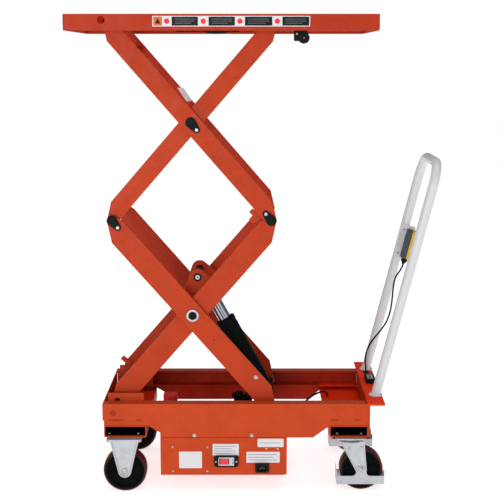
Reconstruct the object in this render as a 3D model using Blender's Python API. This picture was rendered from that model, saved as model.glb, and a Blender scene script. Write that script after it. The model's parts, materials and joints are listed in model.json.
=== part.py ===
"""Mobile battery-electric scissor lift table, raised, built as separate parts around its joints.

Metres, +Z up. The origin is under the middle of the whole machine, on the floor. The handle is at +X, and
the power cover is on the -Y side. "near" parts are at -Y and "far" parts at +Y.
"""

import math

import bmesh
import bpy
from mathutils import Matrix, Vector

# Overall sizes
OVERALL_LENGTH = 1.246
TABLE_LENGTH = 1.010
TABLE_WIDTH = 0.520
TABLE_TOP_Z = 1.615
TABLE_SKIRT = 0.052
TABLE_SHEET = 0.003

# Scissor linkage, raised
PIVOT_BELOW_TOP = 0.0220
BASE_PIVOT_Z = 0.2827
PIVOT_SPREAD = 0.5364
TABLE_X = (TABLE_LENGTH - OVERALL_LENGTH) / 2
FRONT_X = TABLE_X - 0.3728
REAR_X = FRONT_X + PIVOT_SPREAD
STAGE_HEIGHT = (TABLE_TOP_Z - PIVOT_BELOW_TOP - BASE_PIVOT_Z) / 2
ARM_LENGTH = math.hypot(PIVOT_SPREAD, STAGE_HEIGHT)
MID_PIVOT_Z = BASE_PIVOT_Z + STAGE_HEIGHT
TOP_PIVOT_Z = BASE_PIVOT_Z + 2 * STAGE_HEIGHT
BASE_FRONT = (FRONT_X, BASE_PIVOT_Z)
BASE_REAR = (REAR_X, BASE_PIVOT_Z)
MID_FRONT = (FRONT_X, MID_PIVOT_Z)
MID_REAR = (REAR_X, MID_PIVOT_Z)
TOP_FRONT = (FRONT_X, TOP_PIVOT_Z)
TOP_REAR = (REAR_X, TOP_PIVOT_Z)
CENTRE_X = (FRONT_X + REAR_X) / 2
LOWER_CENTRE = (CENTRE_X, BASE_PIVOT_Z + STAGE_HEIGHT / 2)
UPPER_CENTRE = (CENTRE_X, MID_PIVOT_Z + STAGE_HEIGHT / 2)

# Arms: each bar lies a little flatter than the line through its pivots
LOWER_HALF_WIDTH = 0.039
UPPER_HALF_WIDTH = 0.031
ARM_SKEW = 0.030
NOSE_RADIUS = 0.0178
LOWER_CUT = 0.058
UPPER_CUT = 0.046
INNER_ARM_Y = (0.1430, 0.1540)
UPPER_INNER_ARM_Y = (0.1447, 0.1540)
OUTER_ARM_Y = (0.1570, 0.1670)
SHAFT_RADIUS = 0.0125
THIN_SHAFT_RADIUS = 0.0095
HOLE_CLEARANCE = 0.0006
GAP = 0.0003

# Cylinder, between two gussets that carry its top shaft
BARREL_RADIUS = 0.034
BARREL_LENGTH = 0.284
BORE_START = 0.058
ROD_RADIUS = 0.0225
ROD_LENGTH = 0.230
ROD_CLEARANCE = 0.0010
BASE_TUBE_RADIUS = 0.017
BARREL_EYE_RADIUS = 0.0245
BARREL_EYE_HALF = 0.036
CYLINDER_BASE_ALONG = 0.3845
CYLINDER_TOP_ALONG = 0.0996
CYLINDER_TOP_OFFSET = 0.0633
GUSSET_RADIUS = 0.029
GUSSET_Y = (0.0745, 0.0865)
GUSSET_FEET = ((-0.060, 0.036), (-0.060, -0.018), (0.1286, -0.016))
TIE_TUBE_ALONG = -0.045
STUB_ALONG = 0.112
TIE_TUBE_RADIUS = 0.014
TOP_SHAFT_HALF = 0.0880

# Base frame
RAIL_FRONT_X = TABLE_X - 0.414
RAIL_REAR_X = TABLE_X + 0.498
RAIL_OUTER_Y = 0.2175
RAIL_INNER_Y = 0.1780
RAIL_TOP_Z = 0.312
RAIL_BOTTOM_Z = 0.2525
RAIL_WALL = 0.004
TRACK_TOP_Z = 0.2575
SKIRT_LOW_Z = 0.1912
BEAM_TOP_Z = 0.2345
BEAM_BOTTOM_Z = 0.1930
BEAM_WALL = 0.005
FRONT_WALL_REACH = 0.0055
PIVOT_BRACKET_X = (TABLE_X - 0.399, TABLE_X - 0.275)
PIVOT_BRACKET_TOP_Z = 0.338
FRONT_BEAM_X = (TABLE_X - 0.4100, TABLE_X - 0.2640)
REAR_BEAM_X = (TABLE_X + 0.3640, TABLE_X + 0.4980)
BASE_ROLLER_RADIUS = 0.0248
TABLE_ROLLER_RADIUS = 0.0165
ROLLER_Y = (0.1840, 0.2050)

# Casters
WHEEL_RADIUS = 0.075
WHEEL_WIDTH = 0.048
TREAD_DEPTH = 0.008
AXLE_RADIUS = 0.008
FIXED_CASTER_X = TABLE_X - 0.340
FIXED_CASTER_Y = 0.200
SWIVEL_X = TABLE_X + 0.438
SWIVEL_TRAIL = 0.038
SWIVEL_CASTER_Y = 0.186
FORK_SHEET = 0.004
FORK_CLEARANCE = 0.0035
CASTER_TOP_Z = BEAM_BOTTOM_Z - GAP

# Handle
HANDLE_TUBE_RADIUS = 0.0165
HANDLE_HALF_WIDTH = 0.160
HANDLE_TOP_X = OVERALL_LENGTH / 2 - HANDLE_TUBE_RADIUS
HANDLE_TOP_Z = 1.128
HANDLE_FOOT_X = TABLE_X + 0.5275
HANDLE_CORNER = 0.075
END_PLATE_X = (TABLE_X + 0.4950, TABLE_X + 0.5490)
END_PLATE_TOP_Z = 0.326
END_PLATE_THICKNESS = 0.007

# Pendant and its cable
PENDANT_SIZE = (0.030, 0.050, 0.106)
PENDANT_Y = 0.112
PENDANT_CENTRE_Z = 0.815
PENDANT_AHEAD = 0.0205
RELIEF_LENGTH = 0.022
CABLE_RADIUS = 0.003
CABLE_SPACING = 0.0165
GROMMET_HEIGHT = 0.0052
GROMMET_X = TABLE_X + 0.5215
GROMMET_Y = 0.114

# Power unit
POWER_X = (TABLE_X - 0.2170, TABLE_X + 0.2185)
POWER_Z = (0.0565, 0.1909)
POWER_FAR_Y = 0.120
COVER_Y = (-0.2175, -0.2145)
SHEET = 0.0025
SWITCH_X = TABLE_X + 0.0095
SWITCH_Z = 0.1085
ROCKER_X = SWITCH_X - 0.0070
SOCKET_X = TABLE_X + 0.1330
SOCKET_Z = 0.0840
WELL_REACH = 0.02
WELL_FLOOR = 0.0025

ROUND = 16

PALETTE = {
    "orange": ((0.60, 0.074, 0.018), 0.42, 0.0),
    "dark_orange": ((0.50, 0.055, 0.015), 0.45, 0.0),
    "white": ((0.75, 0.73, 0.77), 0.35, 0.0),
    "zinc": ((0.46, 0.48, 0.50), 0.35, 1.0),
    "chrome": ((0.55, 0.58, 0.62), 0.12, 1.0),
    "black_metal": ((0.012, 0.014, 0.014), 0.45, 0.6),
    "black_plastic": ((0.010, 0.011, 0.012), 0.50, 0.0),
    "black_rubber": ((0.012, 0.012, 0.013), 0.75, 0.0),
    "slate": ((0.030, 0.050, 0.062), 0.50, 0.0),
    "yellow": ((0.62, 0.33, 0.01), 0.45, 0.0),
    "maroon": ((0.085, 0.008, 0.010), 0.50, 0.0),
    "red": ((0.62, 0.03, 0.05), 0.35, 0.0),
    "nylon": ((0.70, 0.68, 0.62), 0.50, 0.0),
}


def clear_scene():
    for old in list(bpy.data.objects):
        bpy.data.objects.remove(old, do_unlink=True)


def link_mesh(name, bm):
    """Make an object from a bmesh, with its faces pointing out."""
    bmesh.ops.recalc_face_normals(bm, faces=bm.faces)
    mesh = bpy.data.meshes.new(name)
    bm.to_mesh(mesh)
    bm.free()
    obj = bpy.data.objects.new(name, mesh)
    bpy.context.collection.objects.link(obj)
    return obj


def finish(obj, colour, origin=None, sharp=32):
    """Give a node its material, smooth its round faces and set its origin."""
    base, roughness, metallic = PALETTE[colour]
    material = bpy.data.materials.new(obj.name + "_finish")
    material.use_nodes = True
    shader = material.node_tree.nodes["Principled BSDF"]
    shader.inputs["Base Color"].default_value = (*base, 1.0)
    shader.inputs["Roughness"].default_value = roughness
    shader.inputs["Metallic"].default_value = metallic
    material.diffuse_color = (*base, 1.0)
    obj.data.materials.append(material)
    if obj.type == "MESH":
        obj.data.shade_smooth()
        obj.data.set_sharp_from_angle(angle=math.radians(sharp))
        if origin is not None:
            shift = Vector(origin)
            obj.data.transform(Matrix.Translation(-shift))
            obj.location = shift
    return obj


def box(name, low, high):
    """A block between two corners."""
    bm = bmesh.new()
    size = [b - a for a, b in zip(low, high)]
    middle = [(a + b) / 2 for a, b in zip(low, high)]
    bmesh.ops.create_cube(bm, size=1.0)
    bmesh.ops.scale(bm, vec=size, verts=bm.verts)
    bmesh.ops.translate(bm, vec=middle, verts=bm.verts)
    return link_mesh(name, bm)


def soften(obj, width, segments=1):
    """Round a mesh's sharp edges."""
    bm = bmesh.new()
    bm.from_mesh(obj.data)
    edges = [e for e in bm.edges if e.calc_face_angle(0) > math.radians(40)]
    bmesh.ops.bevel(bm, geom=edges, offset=width, segments=segments, affect="EDGES", profile=0.5)
    bm.to_mesh(obj.data)
    bm.free()
    return obj


def prism(name, outline, start, end, axis="Y"):
    """Extrude a closed outline: (x, z) along Y, (y, z) along X or (x, y) along Z."""
    place = {
        "Y": lambda u, v, w: (u, w, v),
        "X": lambda u, v, w: (w, u, v),
        "Z": lambda u, v, w: (u, v, w),
    }[axis]
    bm = bmesh.new()
    face = bm.faces.new([bm.verts.new(place(u, v, start)) for u, v in outline])
    grown = bmesh.ops.extrude_face_region(bm, geom=[face])
    moved = [v for v in grown["geom"] if isinstance(v, bmesh.types.BMVert)]
    bmesh.ops.translate(bm, vec=place(0, 0, end - start), verts=moved)
    return link_mesh(name, bm)


def frame_for(axis):
    """A rotation that turns +Z to the given direction."""
    return Vector((0, 0, 1)).rotation_difference(Vector(axis)).to_matrix().to_4x4()


def lathe(name, profile, centre, axis=(0, 1, 0), segments=ROUND):
    """Turn a profile of (radius, height) points about an axis. It closes on the axis or on itself."""
    bm = bmesh.new()
    rings = []
    for radius, height in profile:
        count = segments if radius > 0 else 1
        angles = [2 * math.pi * step / segments for step in range(count)]
        rings.append([bm.verts.new((radius * math.cos(t), radius * math.sin(t), height)) for t in angles])
    pairs = list(zip(rings, rings[1:]))
    if profile[0][0] > 0:
        pairs.append((rings[-1], rings[0]))
    for low, high in pairs:
        for step in range(segments):
            following = (step + 1) % segments
            corners = [low[step % len(low)], low[following % len(low)]]
            corners += [high[following % len(high)], high[step % len(high)]]
            bm.faces.new(list(dict.fromkeys(corners)))
    bm.transform(Matrix.Translation(Vector(centre)) @ frame_for(axis))
    return link_mesh(name, bm)


def rod(name, centre, radius, low, high, axis=(0, 1, 0), segments=ROUND):
    """A solid cylinder from low to high along an axis through centre."""
    return lathe(name, [(0, low), (radius, low), (radius, high), (0, high)], centre, axis, segments)


def pipe(name, centre, outer, inner, low, high, axis=(0, 1, 0), segments=ROUND):
    """A hollow cylinder from low to high along an axis through centre."""
    profile = [(inner, low), (outer, low), (outer, high), (inner, high)]
    return lathe(name, profile, centre, axis, segments)


def combine(target, tool, operation):
    """Join a tool to the target, or cut it away; the tool itself is only a guide."""
    tool.hide_render = True
    tool.display_type = "WIRE"
    modifier = target.modifiers.new(operation.title() + "_" + tool.name, "BOOLEAN")
    modifier.operation = operation
    modifier.solver = "EXACT"
    modifier.object = tool
    return target


def join(target, *tools):
    for tool in tools:
        combine(target, tool, "UNION")
    return target


def cut(target, *tools):
    for tool in tools:
        combine(target, tool, "DIFFERENCE")
    return target


def convex_outline(points):
    """The convex outline around a set of points, counter-clockwise."""
    ordered = sorted(set((round(x, 7), round(y, 7)) for x, y in points))

    def half(sequence):
        chain = []
        for p in sequence:
            while len(chain) > 1 and turn(chain[-2], chain[-1], p) <= 1e-9:
                chain.pop()
            chain.append(p)
        return chain[:-1]

    return half(ordered) + half(ordered[::-1])


def turn(a, b, c):
    return (b[0] - a[0]) * (c[1] - a[1]) - (b[1] - a[1]) * (c[0] - a[0])


def circle_points(centre, radius, count=ROUND):
    steps = [2 * math.pi * i / count for i in range(count)]
    return [(centre[0] + radius * math.cos(t), centre[1] + radius * math.sin(t)) for t in steps]


def along_arm(start, end, distance, offset):
    """A point a distance along the line from start to end and offset to its left."""
    ux = (end[0] - start[0]) / ARM_LENGTH
    uz = (end[1] - start[1]) / ARM_LENGTH
    return (start[0] + ux * distance - uz * offset, start[1] + uz * distance + ux * offset)


def arm_outline(start, end, half_width, length_cut, skew):
    """A bar with a nose around each end pivot, cut back on its outer side."""
    points = []
    outer_side = -1 if skew > 0 else 1
    for end_index in (0, 1):
        side = outer_side if end_index == 0 else -outer_side
        for from_end, offset in (
            (length_cut, side * half_width),
            (0.030, -side * half_width),
            (0.006, -side * (half_width - 0.008)),
        ):
            distance = from_end if end_index == 0 else ARM_LENGTH - from_end
            middle = skew * (distance - ARM_LENGTH / 2)
            points.append(along_arm(start, end, distance, middle + offset))
        points += circle_points(start if end_index == 0 else end, NOSE_RADIUS, 14)
    return convex_outline(points)


def scissor_frame(name, start, end, half_width, length_cut, skew, arm_y, tubes, holes):
    """Two arms, one each side, with the tubes that tie them and the bores of their pivots."""
    outline = arm_outline(start, end, half_width, length_cut, skew)
    frame = prism(name, outline, -arm_y[1], -arm_y[0])
    join(frame, prism(name + "_far_arm", outline, arm_y[0], arm_y[1]))
    for index, (centre, radius) in enumerate(tubes):
        reach = arm_y[0] + 0.005
        tube = rod(f"{name}_tube_{index}", (centre[0], 0, centre[1]), radius, -reach, reach)
        join(frame, tube)
    for index, (centre, radius) in enumerate(holes):
        for side in (-1, 1):
            middle = side * (arm_y[0] + arm_y[1]) / 2
            hole = rod(f"{name}_bore_{index}_{side}", (centre[0], middle, centre[1]), radius, -0.012, 0.012)
            cut(frame, hole)
    return frame


def shaft_with_keepers(name, pivot, face_y, bolt_angle):
    """A through shaft with a teardrop keeper plate at each end, lying on the arms' outer faces."""
    thickness = 0.004
    shaft = rod(name, (pivot[0], 0, pivot[1]), SHAFT_RADIUS, -face_y - 0.002, face_y + 0.002)
    bolt = (pivot[0] + 0.030 * math.cos(bolt_angle), pivot[1] + 0.030 * math.sin(bolt_angle))
    outline = convex_outline(circle_points(pivot, 0.018, 16) + circle_points(bolt, 0.011, 8))
    for side in (-1, 1):
        inner = side * (face_y + GAP)
        outer = side * (face_y + GAP + thickness)
        join(shaft, prism(f"{name}_keeper_{side}", outline, min(inner, outer), max(inner, outer)))
    return shaft


def side_label(side):
    return "near" if side < 0 else "far"


# Base frame


def make_side_rail(side):
    """A channel opening inwards, with a side plate under it and the front pivot's bracket inside it."""
    outer = side * RAIL_OUTER_Y
    inner = side * RAIL_INNER_Y
    web = side * (RAIL_OUTER_Y - RAIL_WALL)
    under_flange = RAIL_TOP_Z - RAIL_WALL
    channel = [
        (inner, RAIL_TOP_Z), (outer, RAIL_TOP_Z), (outer, RAIL_BOTTOM_Z), (inner, RAIL_BOTTOM_Z),
        (inner, TRACK_TOP_Z), (web, TRACK_TOP_Z), (web, under_flange), (inner, under_flange),
    ]
    name = "side_rail_" + side_label(side)
    rail = prism(name, channel, RAIL_FRONT_X, RAIL_REAR_X, "X")
    skirt_top = RAIL_BOTTOM_Z + 0.002
    skirt_bottom = BEAM_TOP_Z + GAP
    skirt = [
        (RAIL_FRONT_X + 0.004, skirt_top), (RAIL_FRONT_X + 0.004, skirt_bottom),
        (FRONT_BEAM_X[1] + 0.004, skirt_bottom), (POWER_X[0], 0.209), (POWER_X[0], SKIRT_LOW_Z),
        (TABLE_X + 0.3075, SKIRT_LOW_Z), (REAR_BEAM_X[0] - 0.003, 0.2300),
        (REAR_BEAM_X[0] - 0.001, skirt_bottom), (RAIL_REAR_X, skirt_bottom), (RAIL_REAR_X, skirt_top),
    ]
    plate_y = sorted((side * (RAIL_OUTER_Y - 0.0015), side * (RAIL_OUTER_Y - 0.0055)))
    join(rail, prism(name + "_skirt", skirt, *plate_y))
    bracket_low = TRACK_TOP_Z - 0.0025
    bracket = [
        (PIVOT_BRACKET_X[0], bracket_low), (PIVOT_BRACKET_X[1], bracket_low),
        (PIVOT_BRACKET_X[1], PIVOT_BRACKET_TOP_Z), (PIVOT_BRACKET_X[0], PIVOT_BRACKET_TOP_Z),
    ]
    bracket_y = sorted((side * 0.1700, side * 0.1786))
    join(rail, prism(name + "_bracket", bracket, *bracket_y))
    bore_centre = (FRONT_X, side * 0.174, BASE_PIVOT_Z)
    bore = rod(name + "_bore", bore_centre, SHAFT_RADIUS + HOLE_CLEARANCE, -0.01, 0.01)
    cut(rail, bore)
    return finish(rail, "orange")


def make_caster_beam(name, x_range):
    """An open-ended rectangular tube across the base, which carries two casters."""
    low = (x_range[0], -RAIL_OUTER_Y, BEAM_BOTTOM_Z)
    high = (x_range[1], RAIL_OUTER_Y, BEAM_TOP_Z)
    beam = box(name, low, high)
    hollow = box(
        name + "_hollow",
        (x_range[0] + BEAM_WALL, -RAIL_OUTER_Y - 0.01, BEAM_BOTTOM_Z + BEAM_WALL),
        (x_range[1] - BEAM_WALL, RAIL_OUTER_Y + 0.01, BEAM_TOP_Z - BEAM_WALL),
    )
    return cut(beam, hollow)


def make_front_wall(beam):
    """The upright sheet that closes the front of the base, between the rails and on the front beam."""
    low = (RAIL_FRONT_X, -RAIL_INNER_Y + GAP, BEAM_TOP_Z - 0.002)
    return join(beam, box("front_wall", low, (RAIL_FRONT_X + FRONT_WALL_REACH, RAIL_INNER_Y - GAP, RAIL_TOP_Z)))


def make_end_plate():
    """The bent plate that closes the rear of the base and carries the handle."""
    top = END_PLATE_TOP_Z
    under = END_PLATE_TOP_Z - END_PLATE_THICKNESS
    half = TABLE_WIDTH / 2
    plate = box("handle_end_plate", (END_PLATE_X[0], -half, under), (END_PLATE_X[1], half, top))
    wall_x = RAIL_REAR_X + GAP
    wall_half = RAIL_OUTER_Y - 0.001
    wall_low = (wall_x, -wall_half, BEAM_BOTTOM_Z)
    wall_high = (wall_x + 0.005, wall_half, under + 0.002)
    join(plate, box("end_plate_wall", wall_low, wall_high))
    lip_low = (END_PLATE_X[0] - 0.004, -half, RAIL_TOP_Z + 0.0006)
    join(plate, box("end_plate_lip", lip_low, (END_PLATE_X[0] + 0.001, half, top)))
    grommet_hole = rod("end_plate_hole", (GROMMET_X, GROMMET_Y, top), 0.0078, -0.02, 0.02, (0, 0, 1))
    return finish(cut(plate, grommet_hole), "orange")


# Handle, pendant and cable


def handle_direction():
    run = HANDLE_TOP_X - HANDLE_FOOT_X
    rise = HANDLE_TOP_Z - END_PLATE_TOP_Z
    length = math.hypot(run, rise)
    return Vector((run / length, 0, rise / length)), length


def make_handle():
    """A raked U of round tube with a foot flange on each post and the pendant's holder on the far post."""
    up, length = handle_direction()
    foot = Vector((HANDLE_FOOT_X, 0, END_PLATE_TOP_Z + GAP))
    path = [(-HANDLE_HALF_WIDTH, 0.0), (-HANDLE_HALF_WIDTH, length - HANDLE_CORNER)]
    for centre_side, first in ((-1, 180), (1, 90)):
        for step in range(1, 6):
            angle = math.radians(first - 90 * step / 6)
            across = centre_side * (HANDLE_HALF_WIDTH - HANDLE_CORNER) + HANDLE_CORNER * math.cos(angle)
            path.append((across, length - HANDLE_CORNER + HANDLE_CORNER * math.sin(angle)))
        if centre_side < 0:
            path.append((-(HANDLE_HALF_WIDTH - HANDLE_CORNER), length))
            path.append((HANDLE_HALF_WIDTH - HANDLE_CORNER, length))
    path += [(HANDLE_HALF_WIDTH, length - HANDLE_CORNER), (HANDLE_HALF_WIDTH, 0.0)]
    bm = bmesh.new()
    forward = Vector((up.z, 0, -up.x))
    rings = []
    sides = 12
    for index, (across, along) in enumerate(path):
        before = Vector(path[max(index - 1, 0)])
        after = Vector(path[min(index + 1, len(path) - 1)])
        tangent = (after - before).normalized()
        sideways = Vector((0, tangent[1], 0)) - up * tangent[0]
        middle = foot + Vector((0, across, 0)) + up * along
        ring = []
        for point in range(sides):
            angle = 2 * math.pi * point / sides
            spoke = forward * math.cos(angle) + sideways * math.sin(angle)
            ring.append(bm.verts.new(middle + spoke * HANDLE_TUBE_RADIUS))
        rings.append(ring)
    for first, second in zip(rings, rings[1:]):
        for point in range(sides):
            following = (point + 1) % sides
            bm.faces.new((first[point], first[following], second[following], second[point]))
    bm.faces.new(rings[0])
    bm.faces.new(rings[-1])
    handle = link_mesh("push_handle", bm)
    floor = box("handle_floor", (0.0, -0.3, END_PLATE_TOP_Z - 0.1), (0.8, 0.3, END_PLATE_TOP_Z + GAP))
    cut(handle, floor)
    for side in (-1, 1):
        centre = (HANDLE_FOOT_X, side * HANDLE_HALF_WIDTH, END_PLATE_TOP_Z + GAP)
        join(handle, rod(f"handle_flange_{side}", centre, 0.0225, 0.0, 0.005, (0, 0, 1)))
    holder_low = (-0.0170, 0.1385 - PENDANT_Y, -0.060)
    holder_high = (0.0360, 0.1480 - PENDANT_Y, 0.064)
    join(handle, pendant_block("pendant_holder", holder_low, holder_high))
    return finish(handle, "white")


def pendant_frame():
    """The pendant's own axes: X to the operator, Y across, Z up along the post."""
    up = handle_direction()[0]
    middle = Vector((HANDLE_FOOT_X, PENDANT_Y, END_PLATE_TOP_Z))
    middle += up * ((PENDANT_CENTRE_Z - END_PLATE_TOP_Z) / up.z)
    turned = Matrix.Rotation(math.atan2(up.x, up.z), 4, "Y")
    return Matrix.Translation(middle) @ turned


def pendant_block(name, low, high):
    """A block in the pendant's axes, measured from the post's centre line."""
    block = box(name, low, high)
    block.data.transform(pendant_frame())
    return block


def make_pendant():
    """The hand pendant's two-part case, its two push buttons and its strain relief."""
    half = [s / 2 for s in PENDANT_SIZE]
    middle = PENDANT_AHEAD
    low = (middle - half[0], -half[1], -half[2])
    high = (middle + half[0], half[1], half[2])
    body = box("pendant_body", low, high)
    soften(body, 0.004, 2)
    body.data.transform(pendant_frame())
    button_x = middle + half[0]
    outward = pendant_frame().to_3x3() @ Vector((1, 0, 0))
    buttons = []
    for name, height in (("up_button", 0.021), ("down_button", -0.019)):
        centre = pendant_frame() @ Vector((button_x, 0, height))
        cut(body, rod(name + "_well", centre, 0.0105, -0.010, 0.010, outward))
        profile = [(0, -0.0055), (0.0097, -0.0055), (0.0097, 0.0030), (0.0080, 0.0045), (0, 0.0045)]
        button = lathe(name, profile, centre, outward, 16)
        buttons.append(finish(button, "black_plastic", centre))
    finish(body, "slate")
    bottom = pendant_frame() @ Vector((middle, 0, -half[2] - GAP))
    down = -(pendant_frame().to_3x3() @ Vector((0, 0, 1)))
    profile = [
        (0, 0), (0.0105, 0), (0.0120, 0.006), (0.0105, 0.012), (0.0060, 0.017),
        (0.0050, RELIEF_LENGTH), (0, RELIEF_LENGTH),
    ]
    relief = lathe("pendant_strain_relief", profile, bottom, down, 16)
    finish(relief, "black_rubber")
    return bottom + down * (RELIEF_LENGTH + GAP)


def smooth_route(points, spacing):
    """Points at even spacing along a smooth curve through the given points."""
    dense = []
    for i in range(len(points) - 1):
        p0 = points[max(i - 1, 0)]
        p1 = points[i]
        p2 = points[i + 1]
        p3 = points[min(i + 2, len(points) - 1)]
        for step in range(20):
            t = step / 20
            dense.append(
                0.5 * ((2 * p1) + (p2 - p0) * t + (2 * p0 - 5 * p1 + 4 * p2 - p3) * t * t
                       + (3 * p1 - p0 - 3 * p2 + p3) * t * t * t)
            )
    dense.append(points[-1])
    length = sum((b - a).length for a, b in zip(dense, dense[1:]))
    count = max(2, round(length / spacing))
    route = [dense[0]]
    target = length / count
    travelled = 0.0
    for a, b in zip(dense, dense[1:]):
        step = (b - a).length
        while travelled + step >= target * len(route) and len(route) < count:
            share = (target * len(route) - travelled) / step
            route.append(a.lerp(b, share))
        travelled += step
    route.append(dense[-1])
    return route


def make_cable(start):
    """The pendant's cable, from its strain relief down to the grommet in the end plate."""
    end = Vector((GROMMET_X, GROMMET_Y, END_PLATE_TOP_Z + GROMMET_HEIGHT + 2 * GAP))
    offsets = [
        (0.6462, 0.7260), (0.6395, 0.7130), (0.6305, 0.7000), (0.6230, 0.6850), (0.6182, 0.6650),
        (0.6155, 0.6400),
        (0.6120, 0.595), (0.6080, 0.565), (0.6010, 0.538), (0.5900, 0.513), (0.5745, 0.489),
        (0.5570, 0.467), (0.5405, 0.445), (0.5280, 0.421), (0.5205, 0.395), (0.5185, 0.370), (0.5210, 0.345),
    ]
    points = [start]
    for index, (x, z) in enumerate(offsets):
        share = (index + 1) / (len(offsets) + 1)
        points.append(Vector((TABLE_X + x, start.y + (end.y - start.y) * share, z)))
    points.append(end)
    curve = bpy.data.curves.new("pendant_cable", "CURVE")
    curve.dimensions = "3D"
    curve.bevel_depth = CABLE_RADIUS
    curve.bevel_resolution = 2
    curve.use_fill_caps = True
    spline = curve.splines.new("POLY")
    route = smooth_route(points, CABLE_SPACING)
    spline.points.add(len(route) - 1)
    for knot, place in zip(spline.points, route):
        knot.co = (*place, 1.0)
    cable = bpy.data.objects.new("pendant_cable", curve)
    bpy.context.collection.objects.link(cable)
    finish(cable, "black_rubber")
    profile = [
        (0, -0.006), (0.0072, -0.006), (0.0072, GAP), (0.0110, GAP),
        (0.0095, GROMMET_HEIGHT), (0, GROMMET_HEIGHT),
    ]
    grommet = lathe("cable_grommet", profile, (GROMMET_X, GROMMET_Y, END_PLATE_TOP_Z), (0, 0, 1), 16)
    finish(grommet, "black_rubber")


def make_gauge():
    """The battery gauge on the end plate."""
    low = (TABLE_X + 0.5085, -0.030, END_PLATE_TOP_Z + GAP)
    high = (TABLE_X + 0.5410, 0.046, END_PLATE_TOP_Z + 0.017)
    finish(soften(box("battery_gauge", low, high), 0.003), "black_plastic")


# Power unit


def cover_block(name, x, z, half_x, half_z, front, back):
    """A block on the cover, from a height in front of its face to another behind that."""
    low = (x - half_x, COVER_Y[0] - front, z - half_z)
    high = (x + half_x, COVER_Y[0] - back, z + half_z)
    return box(name, low, high)


def make_power_unit():
    """The tray, its front cover, the battery, the hydraulic unit, the switch and the charging socket."""
    tray_x = (POWER_X[0] + 0.0005, POWER_X[1] - 0.0005)
    tray_y = (COVER_Y[1] + GAP, POWER_FAR_Y)
    tray = box("power_tray", (tray_x[0], tray_y[0], POWER_Z[0]), (tray_x[1], tray_y[1], POWER_Z[1] - 0.001))
    inside = box(
        "power_tray_inside",
        (tray_x[0] + SHEET, tray_y[0] + SHEET, POWER_Z[0] + SHEET),
        (tray_x[1] - SHEET, tray_y[1] - SHEET, POWER_Z[1] + 0.01),
    )
    cut(tray, inside)
    corner = prism(
        "power_tray_corner",
        [(tray_x[1] - 0.010, 0.05), (tray_x[1] + 0.01, 0.05), (tray_x[1] + 0.01, POWER_Z[0] + 0.010)],
        COVER_Y[1] - 0.01, COVER_Y[1] + 0.002,
    )
    cut(tray, corner)
    finish(tray, "dark_orange")
    outline = [
        (POWER_X[0], POWER_Z[1] - GAP), (POWER_X[0], POWER_Z[0]), (POWER_X[1] - 0.009, POWER_Z[0]),
        (POWER_X[1], POWER_Z[0] + 0.009), (POWER_X[1], POWER_Z[1] - GAP),
    ]
    cover = prism("power_cover", outline, *COVER_Y)
    finish(cover, "orange")
    bezel = cover_block("switch_bezel", SWITCH_X, SWITCH_Z, 0.042, 0.020, 0.0095, GAP)
    soften(bezel, 0.0030, 2)
    well = cover_block("switch_well", ROCKER_X, SWITCH_Z, 0.0175, 0.0105, WELL_REACH, WELL_FLOOR)
    finish(cut(bezel, well), "black_plastic")
    front = COVER_Y[0] - 0.0125
    rocker_outline = [
        (ROCKER_X - 0.0150, front + 0.0005), (ROCKER_X, front + 0.0025), (ROCKER_X + 0.0150, front + 0.0030),
        (ROCKER_X + 0.0150, front + 0.0060), (ROCKER_X + 0.0040, front + 0.0085),
        (ROCKER_X - 0.0040, front + 0.0085), (ROCKER_X - 0.0150, front + 0.0040),
    ]
    rocker = prism("power_rocker", rocker_outline, SWITCH_Z - 0.0095, SWITCH_Z + 0.0095, "Z")
    finish(rocker, "red", (ROCKER_X, COVER_Y[0] - 0.0065, SWITCH_Z))
    socket = cover_block("charging_socket", SOCKET_X, SOCKET_Z, 0.0235, 0.0155, 0.0120, GAP)
    soften(socket, 0.0020)
    inlet = cover_block("socket_inlet", SOCKET_X, SOCKET_Z, 0.0150, 0.0095, WELL_REACH, WELL_FLOOR)
    finish(cut(socket, inlet), "black_plastic")
    base_z = POWER_Z[0] + SHEET + GAP
    battery = box("battery", (TABLE_X - 0.205, -0.190, base_z), (TABLE_X - 0.030, 0.100, 0.188))
    soften(battery, 0.004)
    for index, place in enumerate((-0.18, -0.06)):
        post = rod(f"battery_post_{index}", (TABLE_X + place, 0.075, 0.185), 0.009, 0.0, 0.016, (0, 0, 1), 12)
        join(battery, post)
    finish(battery, "black_plastic")
    tank = box("hydraulic_unit", (TABLE_X + 0.070, -0.165, base_z + 0.015), (TABLE_X + 0.205, 0.085, 0.165))
    soften(tank, 0.006, 2)
    motor = rod("pump_motor", (TABLE_X + 0.022, 0, 0.115), 0.040, -0.150, 0.030)
    block = box("valve_block", (TABLE_X + 0.000, 0.020, base_z), (TABLE_X + 0.080, 0.080, 0.185))
    fitting = rod("hose_fitting", (TABLE_X + 0.055, 0.056, 0.180), 0.011, 0.0, 0.092, (0, 0, 1), 12)
    finish(join(tank, motor, block, fitting), "black_metal")


# Casters


def fork_outline(top_low_x, top_high_x, top_z, axle_x, radius):
    corners = [(top_low_x, top_z), (top_high_x, top_z)]
    return convex_outline(corners + circle_points((axle_x, WHEEL_RADIUS), radius, 16))


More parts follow.
